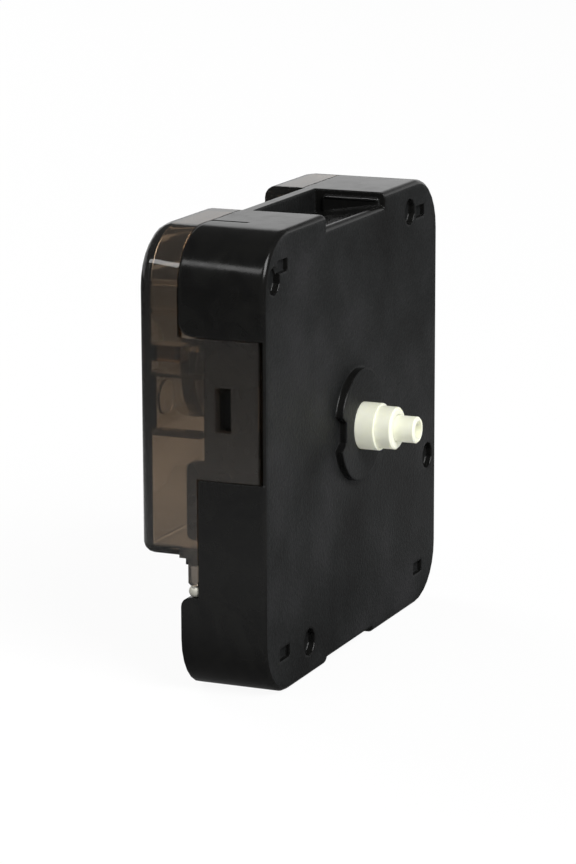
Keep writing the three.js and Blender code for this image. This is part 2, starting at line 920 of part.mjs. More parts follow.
// Going train
function rotorMagnet() {
  const front = statorMiddle - magnetHeight / 2;
  return turned(rotor, [
    [magnetBore, front], [magnetRadius, front], [magnetRadius, front + magnetHeight],
    [magnetBore, front + magnetHeight], [magnetBore, front]], roundSides);
}

function rotorPinion() {
  const hub = magnetBore - runningGap;
  const front = statorMiddle - magnetHeight / 2 - seat;
  const back = statorMiddle + magnetHeight / 2;
  return join(
    arbor(rotor),
    rod(rotor, hub, front, middleFront - leafMargin),
    rod(rotor, hubRadius, back + seamGap, middleFront - leafMargin),
    rod(rotor, hubRadius, front - seat, front + seamGap),
    toothed(
      rotor, rotorLeaves, rotorModule, 0,
      middleFront - leafMargin - seamGap, middleBack + leafMargin / 2),
  );
}

function middleWheel() {
  const rim = rimOf(middleTeeth, middleModule) * rotorModule / middleModule;
  return cut(
    join(
      arbor(middle),
      toothed(middle, middleTeeth, rotorModule, middlePhase, middleFront, middleBack),
      toothed(middle, middleLeaves, middleModule, 0, secondsFront - leafMargin, middleFront + seamGap),
    ),
    ...webHoles(middle, hubRadius, rim, holeCount, middleFront, middleBack),
  );
}

function secondsWheel() {
  const rim = rimOf(secondsTeeth, middleModule);
  const body = join(
    toothed(shaft, secondsTeeth, middleModule, secondsPhase, secondsFront, secondsBack),
    toothed(shaft, secondsLeaves, secondsModule, 0, thirdFront - leafMargin, secondsFront + seamGap),
    rod(shaft, hubRadius, secondsBack - seamGap, secondsBack + seat),
  );
  return cut(
    body,
    rod(shaft, arborRadius + runningGap, 0, bridgeFront),
    ...webHoles(shaft, hubRadius, rim, holeCount, secondsFront, secondsBack),
  );
}

function secondsArbor() {
  return join(
    rod(shaft, arborRadius, tipFace + tipBoreDepth, bridgeFront - endPlay),
    backPivot(shaft),
  );
}

function thirdWheel() {
  const rim = rimOf(thirdTeeth, secondsModule);
  return cut(
    join(
      arbor(third),
      toothed(third, thirdTeeth, secondsModule, thirdPhase, thirdFront, thirdBack),
      toothed(third, thirdLeaves, thirdModule, 0, centreFront - leafMargin, thirdFront + seamGap),
    ),
    ...webHoles(third, hubRadius, rim, holeCount, thirdFront, thirdBack),
  );
}

function centreWheel() {
  const rim = rimOf(centreTeeth, thirdModule);
  const disc = join(
    toothed(shaft, centreTeeth, thirdModule, centrePhase, centreFront, centreBack),
    rod(shaft, clutchHubRadius, centreFront - leafMargin, centreBack + seamGap),
  );
  return cut(
    disc,
    rod(shaft, clutchRadius + runningGap, 0, bridgeFront, roundSides),
    ...webHoles(shaft, clutchHubRadius, rim, holeCount, centreFront, centreBack),
  );
}

// Motion work
function minutePipe() {
  const bore = arborRadius + runningGap;
  const outer = turned(shaft, [
    [tipBoreRadius, tipFace],
    [minutePipeRadius - pipeChamfer, tipFace],
    [minutePipeRadius, tipFace + pipeChamfer],
    [minutePipeRadius, minuteLeafBack - leafMargin],
    [clutchRadius, minuteLeafBack - leafMargin],
    [clutchRadius, centreBack + seamGap],
    [bore, centreBack + seamGap],
    [bore, tipFace + tipBoreDepth],
    [tipBoreRadius, tipFace + tipBoreDepth],
    [tipBoreRadius, tipFace],
  ], roundSides);
  const leaves = cut(
    toothed(shaft, minuteLeaves, minuteModule, 0, motionFront - leafMargin, minuteLeafBack),
    rod(shaft, (bore + clutchRadius) / 2, 0, bridgeFront));
  return join(outer, leaves);
}

function motionWheel() {
  const rim = rimOf(motionTeeth, minuteModule);
  return cut(
    join(
      toothed(motion, motionTeeth, minuteModule, motionPhase, motionFront, motionBack),
      toothed(motion, motionLeaves, hourModule, 0, hourFront, motionFront + seamGap),
    ),
    rod(motion, studRadius + runningGap, 0, bridgeFront),
    ...webHoles(motion, hubRadius + seat, rim, holeCount, motionFront, motionBack),
  );
}

function hourWheel() {
  const bore = minutePipeRadius + runningGap;
  const pipe = turned(shaft, [
    [bore, bossFace - hourPipeLength],
    [hourPipeRadius - pipeChamfer, bossFace - hourPipeLength],
    [hourPipeRadius, bossFace - hourPipeLength + pipeChamfer],
    [hourPipeRadius, bossFace - collarLength],
    [collarRadius, bossFace - collarLength],
    [collarRadius, hourFront + seamGap],
    [bore, hourFront + seamGap],
    [bore, bossFace - hourPipeLength],
  ], roundSides);
  const rim = rimOf(hourTeeth, hourModule);
  const disc = cut(
    toothed(shaft, hourTeeth, hourModule, hourPhase, hourFront, hourBack),
    rod(shaft, bore, 0, bridgeFront, roundSides),
    ...webHoles(shaft, collarRadius, rim, holeCount, hourFront, hourBack));
  return join(pipe, disc);
}

function settingArbor() {
  return join(
    frontPivot(knob, hourFront),
    rod(knob, knobShaftRadius, hourFront, knobFront, roundSides),
    toothed(knob, knobLeaves, minuteModule, knobPhase, motionFront - leafMargin, motionBack + leafMargin),
    rod(knob, knobTangRadius, knobFront - seat, knobFront + knobTangLength - seat),
  );
}

function settingKnob() {
  const pitch = 2 * Math.PI / knurlCount;
  const outline = Array.from({ length: 2 * knurlCount }, (_, i) => {
    const reach = knobRadius - (i % 2) * knurlDepth;
    return [knob.x + reach * Math.cos(i * pitch / 2), knob.z + reach * Math.sin(i * pitch / 2)];
  });
  const inner = knobRadius - knurlDepth - knobRim;
  const dish = rod(knob, inner, knobBack - knobDish, knobBack + overrun, roundSides);
  const pointer = block(
    knob.x - pointerWidth / 2, knobBack - knobDish, knob.z - inner,
    knob.x + pointerWidth / 2, knobBack + overrun, knob.z + inner);
  const socket = rod(
    knob, knobTangRadius + runningGap, knobFront - overrun, knobFront + knobTangLength);
  return cut(alongY(points(outline), knobFront + seamGap, knobBack), cut(dish, pointer), socket);
}

// Motor
function statorPlate() {
  const eye = magnetRadius + airGap + statorEyeWall;
  const right = coilAside + coreWidth / 2 + seat;
  const bar = statorBarWidth / 2;
  const plate = join(
    rod(rotor, eye, statorFront, statorBack, roundSides),
    block(rotor.x - bar, statorFront, statorLow, rotor.x + bar, statorBack, statorHigh),
    block(rotor.x - bar, statorFront, statorLow, right, statorBack, statorLow + statorLegWidth),
    block(rotor.x - bar, statorFront, statorHigh - statorLegWidth, right, statorBack, statorHigh),
  );
  const notches = [-1, 1].map((side) => rod(
    { x: rotor.x + side * eye, z: rotor.z }, statorNotch, 0, bridgeFront));
  return cut(
    plate,
    rod(rotor, magnetRadius + airGap, 0, bridgeFront, roundSides),
    ...notches,
  );
}

function coilCore() {
  const half = coreWidth / 2;
  const ends = statorLegWidth - coreOverhang;
  return block(
    coilAside - half, coreFront, statorLow + ends / 2, coilAside + half, coreBack, statorHigh - ends / 2);
}

function coilBobbin() {
  const side = flangeSide / 2;
  const slack = runningGap;
  const half = coreWidth / 2 + slack;
  const flange = (low) => alongZ(
    rounded(coilAside - side, coilDepth - side, coilAside + side, coilDepth + side, [seat, seat, seat, seat]),
    low, low + flangeThickness);
  const tube = block(
    coilAside - half - bobbinWall, coreFront - slack - bobbinWall, bobbinLow,
    coilAside + half + bobbinWall, coreBack + slack + bobbinWall, bobbinHigh);
  const bore = block(
    coilAside - half, coreFront - slack, bobbinLow - overrun,
    coilAside + half, coreBack + slack, bobbinHigh + overrun);
  return cut(join(tube, flange(bobbinLow), flange(bobbinHigh - flangeThickness)), bore);
}

function coilWinding() {
  const low = bobbinLow + flangeThickness + seamGap;
  const high = bobbinHigh - flangeThickness - seamGap;
  const tubeWall = runningGap + bobbinWall;
  const inner = Math.hypot(coreWidth / 2 + tubeWall, coreThickness / 2 + tubeWall) + runningGap;
  const profile = points([
    [inner, low], [windingRadius - windingCrown, low], [windingRadius, (low + high) / 2],
    [windingRadius - windingCrown, high], [inner, high], [inner, low],
  ]);
  const tube = new THREE.LatheGeometry(profile, roundSides).rotateX(Math.PI / 2);
  return solidFrom(tube.translate(coilAside, coilDepth, 0));
}

// Bridge that carries the back pivots
function gearBridge() {
  const at = ([x, z]) => ({ x, z });
  const arms = [
    [third, shaft], [shaft, middle], [middle, rotor],
    [third, at(bridgePosts[0])], [shaft, at(bridgePosts[1])], [shaft, at(bridgePosts[2])],
  ].map(([a, b]) => alongY(link(a, b, bridgeArm), bridgeFront, bridgeBack));
  const holes = [third, shaft, middle, rotor].map((place) => rod(
    place, pivotRadius + runningGap, bridgeFront - overrun, bridgeBack + overrun));
  const pegs = bridgePosts.map(at).map((place) => rod(
    place, pegRadius + runningGap, bridgeFront - overrun, bridgeBack + overrun));
  return cut(join(...arms), ...holes, ...pegs);
}

// Circuit board and what is on it
function circuitBoard() {
  const board = alongY(
    rounded(boardLeft, boardLow, boardRight, boardHigh, [seat, seat, seat, seat]),
    boardFront, boardFront + boardThickness);
  const holes = boardPosts.map(([x, z]) => rod(
    { x, z }, pegRadius + runningGap, boardFront - overrun, boardFront + boardThickness + overrun));
  return cut(board, ...holes);
}

function chipBlob() {
  const back = boardFront + boardThickness + seamGap;
  const middleOfBoard = (boardLow + boardHigh) / 2;
  const dome = arc(0, 0, 1, 0, Math.PI / 2, cornerSteps)
    .map((p) => [chipRadius * p.x, back + chipRise * p.y]);
  return turned({ x: chipAside, z: middleOfBoard }, [[0, back], ...dome.slice(0, -1), [0, back + chipRise]],
    roundSides);
}

function crystalCan() {
  const depth = boardFront + boardThickness + seamGap + crystalRadius;
  const height = (boardLow + boardHigh) / 2;
  const left = boardRight - crystalInset;
  return alongX(circle(depth, height, crystalRadius, smallSides), left, left + crystalLength);
}

// Battery contacts
function stripUp(aside) {
  const front = faceWall + contactGap;
  const back = front + contactThickness;
  return join(
    block(aside, front, contactTop - stripWidth, aside + stripWidth, back, stripTop),
    block(aside, front, stripTop - contactThickness, aside + stripWidth, boardFront - seat, stripTop),
  );
}

function endPlate(outer) {
  const front = faceWall + contactGap;
  return block(
    outer, front, contactLow, outer + contactThickness, front + contactWidth, contactTop);
}

function positiveContact() {
  const outer = -innerHalf + contactGap;
  const inner = outer + contactThickness;
  const front = faceWall + contactGap;
  const [aside] = stripAsides;
  const run = block(
    outer, front, contactTop - stripWidth, aside + stripWidth, front + contactThickness, contactTop);
  const dimple = alongZ(
    arc(
      inner - seat, cellDepth - cellClearance, dimpleRise + seat,
      -Math.PI / 2, Math.PI / 2, 2 * cornerSteps),
    cellHeight - dimpleRadius, cellHeight + dimpleRadius);
  const back = block(
    outer, front + contactWidth - seat, cellHeight - dimpleRadius, inner, hookBack - hookLip, hookHigh);
  const bend = hookBack - lowerWallDepth - seamGap - hookLip;
  const hook = alongZ(
    rounded(-halfWidth + hookLip, hookBack - bend, inner, hookBack, [bend / 2, 0, seat, bend / 2 - weld]),
    hookLow + seamGap, hookHigh);
  return join(endPlate(outer), run, stripUp(aside), dimple, back, hook);
}

function negativeContact() {
  const outer = innerHalf - contactGap - contactThickness;
  const front = faceWall + contactGap;
  const [, aside] = stripAsides;
  const run = block(
    aside, front, contactTop - stripWidth, outer + contactThickness, front + contactThickness, contactTop);
  const low = cellHeight - springWidth / 2;
  const back = front + contactWidth;
  const sheet = (shift) => springShares.map(([inwardShare, alongShare]) => [
    outer + seat - springReach * inwardShare + shift,
    back - contactThickness - contactWidth * alongShare,
  ]);
  const outline = [...sheet(0), ...sheet(contactThickness).reverse()];
  const spring = alongZ(points(outline).reverse(), low, low + springWidth);
  return join(endPlate(outer), run, stripUp(aside), spring);
}

// Materials
const blackPlastic = { color: 0x26272a, roughness: 0.5, metalness: 0 };
const smokedPlastic = { color: 0x3a2f27, roughness: 0.12, metalness: 0 };
const whitePlastic = { color: 0xf2f0e2, roughness: 0.45, metalness: 0 };
const steel = { color: 0xb9bcc0, roughness: 0.3, metalness: 1 };
const nickel = { color: 0xd8d6cc, roughness: 0.25, metalness: 1 };
const copper = { color: 0xa8562c, roughness: 0.4, metalness: 1 };
const magnet = { color: 0x4a4c50, roughness: 0.45, metalness: 1 };
const laminate = { color: 0x2f6b3a, roughness: 0.55, metalness: 0 };
const epoxy = { color: 0x141416, roughness: 0.3, metalness: 0 };

const pieces = [
  ['front_housing', frontHousing, blackPlastic],
  ['back_cover', backCover, smokedPlastic],
  ['gear_bridge', gearBridge, whitePlastic],
  ['rotor_magnet', rotorMagnet, magnet],
  ['rotor_pinion', rotorPinion, whitePlastic],
  ['intermediate_wheel', middleWheel, whitePlastic],
  ['seconds_wheel', secondsWheel, whitePlastic],
  ['seconds_arbor', secondsArbor, steel],
  ['third_wheel', thirdWheel, whitePlastic],
  ['centre_wheel', centreWheel, whitePlastic],
  ['minute_pipe', minutePipe, whitePlastic],
  ['motion_wheel', motionWheel, whitePlastic],
  ['hour_wheel', hourWheel, whitePlastic],
  ['setting_arbor', settingArbor, whitePlastic],
  ['setting_knob', settingKnob, blackPlastic],
  ['stator_plate', statorPlate, steel],
  ['coil_core', coilCore, steel],
  ['coil_bobbin', coilBobbin, whitePlastic],
  ['coil_winding', coilWinding, copper],
  ['circuit_board', circuitBoard, laminate],
  ['chip_cover', chipBlob, epoxy],
  ['crystal_can', crystalCan, nickel],
  ['positive_contact', positiveContact, nickel],
  ['negative_contact', negativeContact, nickel],
];

const group = new THREE.Group();
group.position.y = -(caseDepth + tipFace) / 2;
for (const [name, make, finish] of pieces) {
  const mesh = new THREE.Mesh(geometryFrom(make()), new THREE.MeshStandardMaterial(finish));
  mesh.name = name;
  group.add(mesh);
}

export default group;
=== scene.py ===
import bmesh
import bpy
import json
import math
from mathutils import Matrix, Vector

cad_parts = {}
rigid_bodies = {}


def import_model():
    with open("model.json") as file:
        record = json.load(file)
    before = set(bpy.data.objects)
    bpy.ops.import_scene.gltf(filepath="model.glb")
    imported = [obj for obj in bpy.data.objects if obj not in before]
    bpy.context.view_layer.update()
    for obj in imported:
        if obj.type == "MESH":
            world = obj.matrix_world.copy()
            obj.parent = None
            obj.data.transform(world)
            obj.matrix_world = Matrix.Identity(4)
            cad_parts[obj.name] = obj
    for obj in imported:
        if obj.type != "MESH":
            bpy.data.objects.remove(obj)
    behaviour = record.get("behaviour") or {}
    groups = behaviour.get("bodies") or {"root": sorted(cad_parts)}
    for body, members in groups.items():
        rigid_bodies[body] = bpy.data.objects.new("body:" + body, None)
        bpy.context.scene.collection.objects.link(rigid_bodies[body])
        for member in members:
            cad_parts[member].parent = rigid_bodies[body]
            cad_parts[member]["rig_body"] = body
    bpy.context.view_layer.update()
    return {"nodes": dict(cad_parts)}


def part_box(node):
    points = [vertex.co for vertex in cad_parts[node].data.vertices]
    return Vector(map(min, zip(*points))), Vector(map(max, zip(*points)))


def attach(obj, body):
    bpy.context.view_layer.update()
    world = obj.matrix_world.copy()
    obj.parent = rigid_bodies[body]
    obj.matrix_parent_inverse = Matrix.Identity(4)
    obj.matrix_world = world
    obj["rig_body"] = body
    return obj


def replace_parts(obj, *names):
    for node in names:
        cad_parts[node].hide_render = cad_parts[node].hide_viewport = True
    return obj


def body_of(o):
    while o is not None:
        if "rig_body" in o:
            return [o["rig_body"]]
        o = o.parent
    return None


# The photograph's camera, about the middle of the case's front plane
PHOTO_HEIGHT = 864
FOCAL_PIXELS = 3448.24
CAMERA_AZIMUTH = -66.649
CAMERA_ELEVATION = 12.660
CAMERA_ROLL = -0.195
CAMERA_RIGHT_MM = -8.428
CAMERA_UP_MM = -0.585
CAMERA_DISTANCE_MM = 427.65
SENSOR_MM = 36.0
CLIP_NEAR_MM = 10.0
CLIP_FAR_MM = 50000.0

CASE_CENTRE_MM = 28.0
FACE_Y_MM = -4.05

# Light: the white backdrop stands low on the far side, and the room is dim elsewhere.
# Gloss sees the paper with a painted shade: grey in the object's own shade, paler around it and
# dim further off.
PAPER_GLOW_SHARE = 0.93
PAPER_NEAR_MM = 30.0
PAPER_FAR_MM = 300.0
# Painted shade of the paper as gloss sees it, from the object outwards
PAPER_PAINTED_SHADE_IN_GLOSS = [(0.0, "626262"), (0.2, "c4c4c4"), (0.55, "787878"), (1.0, "3c3c3c")]
BACKDROP_WAY = (0.92, 0.39, 0.0)
BACKDROP_EDGE = 0.4
BACKDROP_TOP = 0.3
BACKDROP_FADE = 0.12
BACKDROP_GLOSS = 0.75
ROOM_LIGHT = 0.25
ROOM_GLOSS = 0.08
FLOOR_RADIUS_MM = 6000.0
FLOOR_DROP_MM = 0.02
FLOOR_SIDES = 64

# Lamps: place and aim in metres, width, height, radiance, and whether gloss mirrors them
LAMPS = {
    "key_softbox": ((-0.45, -0.75, 0.75), (0, 0, 0.03), 0.6, 0.6, 11.5, True),
    "back_softbox": ((0.5, 0.9, 0.6), (0, 0, 0.03), 0.6, 0.6, 6.0, False),
    "edge_strip": ((-0.45, 0.24, 0.46), (0, 0.24, 0.05), 0.5, 0.09, 5.5, True),
}

# Surfaces: weld distance, the angle from which a crease stays sharp, how squarely a face
# of the case looks to the dial side to get the eroded finish, and sides of round pieces
WELD_MM = 0.002
CREASE_DEGREES = 35.0
DIAL_FACING = 0.9
TURNED_SIDES = 64
CAN_SIDES = 40
BEAD_SIDES = 32
LIP_SIDES = 24
PAD_SIDES = 20
DOME_STEPS = 8

# Finishes: how large the marks are, how deep they go, and how far the edges look rounded
GRAIN_MM, GRAIN_DEPTH_MM, GRAIN_EDGE_MM = 0.35, 0.09, 0.6
CLOUD_MM = 12.0
SMEAR_MM, SMEAR_DEPTH_MM, SMEAR_EDGE_MM = 5.0, 0.02, 0.35
FLOW_MM, FLOW_DEPTH_MM, FLOW_EDGE_MM = 9.0, 0.05, 0.2
MELT_MM, MELT_DEPTH_MM, MELT_EDGE_MM = 3.0, 0.02, 0.12
MELT_SCATTER_MM = 0.6
SCRATCH_DEPTH_MM, SCRATCH_EDGE_MM = 0.01, 0.06
SCRATCH_STRETCH = 20
GRIT_MM, GRIT_DEPTH_MM = 0.2, 0.02
ENAMEL_PATCH_MM = 1.2
WEAVE_MM, WEAVE_DEPTH_MM = 0.5, 0.02
FOIL_PATCH_MM = 1.0
FROST_MM, FROST_DEPTH_MM = 0.15, 0.01
PEEL_MM, PEEL_DEPTH_MM = 0.8, 0.03

# Smoked plastic: how strongly it darkens with depth, and the share of light its skin scatters
COVER_DENSITY = 660.0
# The ledges' density is painted shade: darker than the cover's own plastic
LEDGE_SHADE_DENSITY = 3500.0
HAZE_SHARE = 0.028

# Coil winding: ridges of wire, drawn about eight times as coarse as the real turns
WIRE_PITCH_MM = 0.3
WIRE_RIDGE_MM = 0.05
WIRE_STEPS = 4
COIL_BORE_MM = 2.38
COIL_CROWN_MM = 0.12

# Chip drop: its foot, the roundness of its side, and the lobes of its rim
DROP_FOOT_SHARE = 0.99
DROP_ROUNDNESS = 0.8
DROP_DEGREES = range(6, 90, 12)
DROP_LOBE_SHARES = (0.97, 0.02, 0.01)

# Crystal can: radii as shares of the solid's, then how far along its rim and neck lie
# from the lead end, and its bends from the far end
CAN_FOOT_SHARE = 0.96
CAN_RIM_SHARE = 0.995
CAN_BODY_SHARE = 0.9
CAN_END_SHARES = (0.84, 0.62)
CAN_RIM_MM = (0.08, 0.35, 0.45)
CAN_END_MM = (0.4, 0.14)

# Circuit board, from its lower left corner: across, up
TRACK_WIDTH_MM = 0.4
TRACK_RISE_MM = 0.06
TRACKS_MM = [
    [(7.6, 3.7), (10.2, 3.7), (11.6, 3.5), (12.1, 3.5)],
    [(7.8, 2.6), (10.4, 2.6), (11.6, 2.6), (12.1, 2.6)],
    [(7.5, 2.0), (8.9, 1.05), (13.4, 1.05), (14.3, 1.05)],
    [(6.8, 1.5), (7.7, 0.45), (18.4, 0.45), (19.3, 1.05)],
    [(4.4, 2.9), (3.0, 2.9), (1.2, 1.7), (1.2, 1.05)],
    [(6.0, 4.6), (6.6, 5.55), (16.4, 5.55), (17.3, 5.1)],
    [(5.2, 4.4), (4.2, 5.5), (3.2, 5.5)],
]
CRYSTAL_PADS_MM = [(12.1, 3.5), (12.1, 2.6)]
COIL_PADS_MM = [(14.3, 1.05), (19.3, 1.05)]
PADS_MM = CRYSTAL_PADS_MM + COIL_PADS_MM + [(1.2, 1.05), (17.3, 5.1), (3.2, 5.4)]
PAD_RADIUS_MM = 0.42
PAD_RISE_SHARE = 1.2
SOLDER_RADIUS_MM = 0.38
SOLDER_HEIGHT_MM = 0.3
SOLDER_FOOT_SHARE = 1.3
SOLDER_SHARES = [(0.8, 0.6), (0.4, 0.95)]

# Leads: the coil's start in the winding, stand ever further aside, pass behind the
# flange and come down over their joints. The crystal's start in its can and leave it.
LEAD_RADIUS_MM = 0.07
COIL_LEAD_ASIDE_MM = (0.8, 1.0, 1.3)
COIL_LEAD_SUNK_MM = (0.3, 0.5)
COIL_LEAD_CLEAR_MM = 0.12
COIL_LEAD_OVER_MM = (0.1, 0.5)
CRYSTAL_LEAD_MM = (0.1, 0.25)

# Bead on the battery contact: half its length, and its radius
BEAD_PLACE_MM = (-27.42, 5.42, 12.88)
BEAD_RADII_MM = (0.5, 0.76)

# Lip in the hanging recess
LIP_PLACE_MM = (9.36, 0.4, 55.06)
LIP_LENGTH_MM = 7.3
LIP_RADIUS_MM = 0.25

# Ledges inside the cover's left wall: back, front, low, high
LEDGES_MM = [(11.1, 4.6, 38.45, 38.95), (11.1, 4.6, 31.35, 32.1)]
LEDGE_ASIDE_MM = -26.62
LEDGE_DEPTH_MM = 1.5
LEDGE_ROUND_MM = 0.12


def mm(value):
    return value / 1000.0


def linear(code):
    """A colour written as sRGB hex, as Blender's linear red, green, blue and alpha."""
    parts = [int(code[i:i + 2], 16) / 255 for i in (0, 2, 4)]
    return [p / 12.92 if p <= 0.04045 else ((p + 0.055) / 1.055) ** 2.4 for p in parts] + [1.0]


def node(tree, kind, inputs=None, links=None, stops=None, **settings):
    """Adds a node with its settings; a link is socket: (node, output), a stop is (place, hex)."""
    made = tree.nodes.new(kind)
    for name, value in settings.items():
        setattr(made, name, value)
    for socket, value in (inputs or {}).items():
        made.inputs[socket].default_value = value
    for socket, (source, output) in (links or {}).items():
        tree.links.new(source.outputs[output], made.inputs[socket])
    for _ in (stops or [])[2:]:
        made.color_ramp.elements.new(1.0)
    for element, (place, code) in zip(made.color_ramp.elements if stops else [], stops or []):
        element.position = place
        element.color = linear(code)
    return made


def new_material(name):
    material = bpy.data.materials.new(name)
    material.use_nodes = True
    material.node_tree.nodes.clear()
    return material, material.node_tree


# ABS from a spark-eroded mould: black with a fine even grain and hardly any gloss,
# so that it stays dark where it mirrors the white floor. The real grain is about
# 0.1 mm; it is drawn at 0.35 mm, the finest that shows.
def spark_eroded_black_abs():
    material, tree = new_material("spark_eroded_black_abs")
    coords = node(tree, "ShaderNodeTexCoord")
    grain = node(tree, "ShaderNodeTexNoise",
                 {"Scale": 1 / mm(GRAIN_MM), "Detail": 3.0, "Roughness": 0.6},
                 {"Vector": (coords, "Object")})
    cloud = node(tree, "ShaderNodeTexNoise", {"Scale": 1 / mm(CLOUD_MM), "Detail": 2.0},
                 {"Vector": (coords, "Object")})
    mixed = node(tree, "ShaderNodeMath", {1: 0.5}, {0: (grain, "Fac"), 2: (cloud, "Fac")},
                 operation="MULTIPLY_ADD")
    tint = node(tree, "ShaderNodeValToRGB", links={"Fac": (mixed, "Value")},
                stops=[(0.5, "141414"), (0.75, "1e1f1f"), (1.0, "2a2a2b")])
    edge = node(tree, "ShaderNodeBevel", {"Radius": mm(GRAIN_EDGE_MM)}, samples=8)
    bump = node(tree, "ShaderNodeBump", {"Strength": 1.0, "Distance": mm(GRAIN_DEPTH_MM)},
                {"Height": (grain, "Fac"), "Normal": (edge, "Normal")})
    shader = node(tree, "ShaderNodeBsdfPrincipled",
                  {"Roughness": 0.5, "IOR": 1.5, "Specular IOR Level": 0.1},
                  {"Base Color": (tint, "Color"), "Normal": (bump, "Normal")})
    node(tree, "ShaderNodeOutputMaterial", links={"Surface": (shader, "BSDF")})
    return material


# ABS from a polished mould: black and fairly glossy, with rounded edges that catch
# the light and faint smears from handling in its gloss.
def polished_black_abs(name, codes, gloss):
    material, tree = new_material(name)
    coords = node(tree, "ShaderNodeTexCoord")
    smear = node(tree, "ShaderNodeTexNoise",
                 {"Scale": 1 / mm(SMEAR_MM), "Detail": 4.0, "Distortion": 1.5},
                 {"Vector": (coords, "Object")})
    tint = node(tree, "ShaderNodeValToRGB", links={"Fac": (smear, "Fac")},
                stops=[(0.3, codes[0]), (0.7, codes[1])])
    rough = node(tree, "ShaderNodeMapRange",
                 {"From Min": 0.35, "From Max": 0.7, "To Min": 0.11, "To Max": 0.2},
                 {"Value": (smear, "Fac")})
    edge = node(tree, "ShaderNodeBevel", {"Radius": mm(SMEAR_EDGE_MM)}, samples=8)
    bump = node(tree, "ShaderNodeBump", {"Strength": 0.5, "Distance": mm(SMEAR_DEPTH_MM)},
                {"Height": (smear, "Fac"), "Normal": (edge, "Normal")})
    shader = node(tree, "ShaderNodeBsdfPrincipled", {"IOR": 1.5, "Specular IOR Level": gloss}, {
        "Base Color": (tint, "Color"), "Roughness": (rough, "Result"), "Normal": (bump, "Normal")})
    node(tree, "ShaderNodeOutputMaterial", links={"Surface": (shader, "BSDF")})
    return material


# Styrene, injection moulded and smoked brown: clear, so that it is pale where it is
# thin and nearly black where the light runs along inside it. A little of the light
# scatters at its surface, which veils the black parts behind it, and the lamps shine
# through it onto the works.
def smoked_clear_styrene(name, density):
    material, tree = new_material(name)
    coords = node(tree, "ShaderNodeTexCoord")
    flow = node(tree, "ShaderNodeTexNoise", {"Scale": 1 / mm(FLOW_MM), "Detail": 1.0},
                {"Vector": (coords, "Object")})
    edge = node(tree, "ShaderNodeBevel", {"Radius": mm(FLOW_EDGE_MM)}, samples=4)
    bump = node(tree, "ShaderNodeBump", {"Strength": 0.35, "Distance": mm(FLOW_DEPTH_MM)},
                {"Height": (flow, "Fac"), "Normal": (edge, "Normal")})
    shader = node(tree, "ShaderNodeBsdfPrincipled", {
        "Base Color": linear("ffffff"), "Roughness": 0.05, "IOR": 1.55,
        "Transmission Weight": 1.0}, {"Normal": (bump, "Normal")})
    haze = node(tree, "ShaderNodeBsdfDiffuse", {"Color": linear("acaba6")})
    mixed = node(tree, "ShaderNodeMixShader", {0: HAZE_SHARE}, {
        1: (shader, "BSDF"), 2: (haze, "BSDF")})
    path = node(tree, "ShaderNodeLightPath")
    clear = node(tree, "ShaderNodeBsdfTransparent", {"Color": linear("eeeeee")})
    passed = node(tree, "ShaderNodeMixShader", links={
        0: (path, "Is Shadow Ray"), 1: (mixed, "Shader"), 2: (clear, "BSDF")})
    inside = node(tree, "ShaderNodeVolumeAbsorption", {
        "Color": (0.38, 0.21, 0.0, 1.0), "Density": density})
    node(tree, "ShaderNodeOutputMaterial", links={
        "Surface": (passed, "Shader"), "Volume": (inside, "Volume")})
    return material


# Acetal, injection moulded: waxy white that lets a little light into its surface,
# with a faint cloudiness where the melt cooled.
def moulded_white_acetal(name, codes):
    material, tree = new_material(name)
    coords = node(tree, "ShaderNodeTexCoord")
    cloud = node(tree, "ShaderNodeTexNoise", {"Scale": 1 / mm(MELT_MM), "Detail": 3.0},
                 {"Vector": (coords, "Object")})
    tint = node(tree, "ShaderNodeValToRGB", links={"Fac": (cloud, "Fac")},
                stops=[(0.3, codes[0]), (0.7, codes[1])])
    edge = node(tree, "ShaderNodeBevel", {"Radius": mm(MELT_EDGE_MM)}, samples=4)
    bump = node(tree, "ShaderNodeBump", {"Strength": 0.4, "Distance": mm(MELT_DEPTH_MM)},
                {"Height": (cloud, "Fac"), "Normal": (edge, "Normal")})
    shader = node(tree, "ShaderNodeBsdfPrincipled", {
        "Roughness": 0.4, "IOR": 1.48, "Subsurface Weight": 0.3,
        "Subsurface Scale": mm(MELT_SCATTER_MM), "Subsurface Radius": (0.9, 0.9, 0.6)},
        {"Base Color": (tint, "Color"), "Normal": (bump, "Normal")})
    node(tree, "ShaderNodeOutputMaterial", links={"Surface": (shader, "BSDF")})
    return material


# Sheet or drawn metal: fine parallel scratches along the way it was rolled or ground.
def rolled_metal(name, codes, roughness, across_mm):
    material, tree = new_material(name)
    coords = node(tree, "ShaderNodeTexCoord")
    across, along = 1 / mm(across_mm), 1 / mm(across_mm * SCRATCH_STRETCH)
    stretch = node(tree, "ShaderNodeMapping", {"Scale": (across, across, along)},
                   {"Vector": (coords, "Object")})
    lines = node(tree, "ShaderNodeTexNoise", {"Scale": 1.0, "Detail": 3.0},
                 {"Vector": (stretch, "Vector")})
    tint = node(tree, "ShaderNodeValToRGB", links={"Fac": (lines, "Fac")},
                stops=[(0.3, codes[0]), (0.7, codes[1])])
    edge = node(tree, "ShaderNodeBevel", {"Radius": mm(SCRATCH_EDGE_MM)}, samples=4)
    bump = node(tree, "ShaderNodeBump", {"Strength": 0.4, "Distance": mm(SCRATCH_DEPTH_MM)},
                {"Height": (lines, "Fac"), "Normal": (edge, "Normal")})
    shader = node(tree, "ShaderNodeBsdfPrincipled", {"Metallic": 1.0, "Roughness": roughness}, {
        "Base Color": (tint, "Color"), "Normal": (bump, "Normal")})
    node(tree, "ShaderNodeOutputMaterial", links={"Surface": (shader, "BSDF")})
    return material


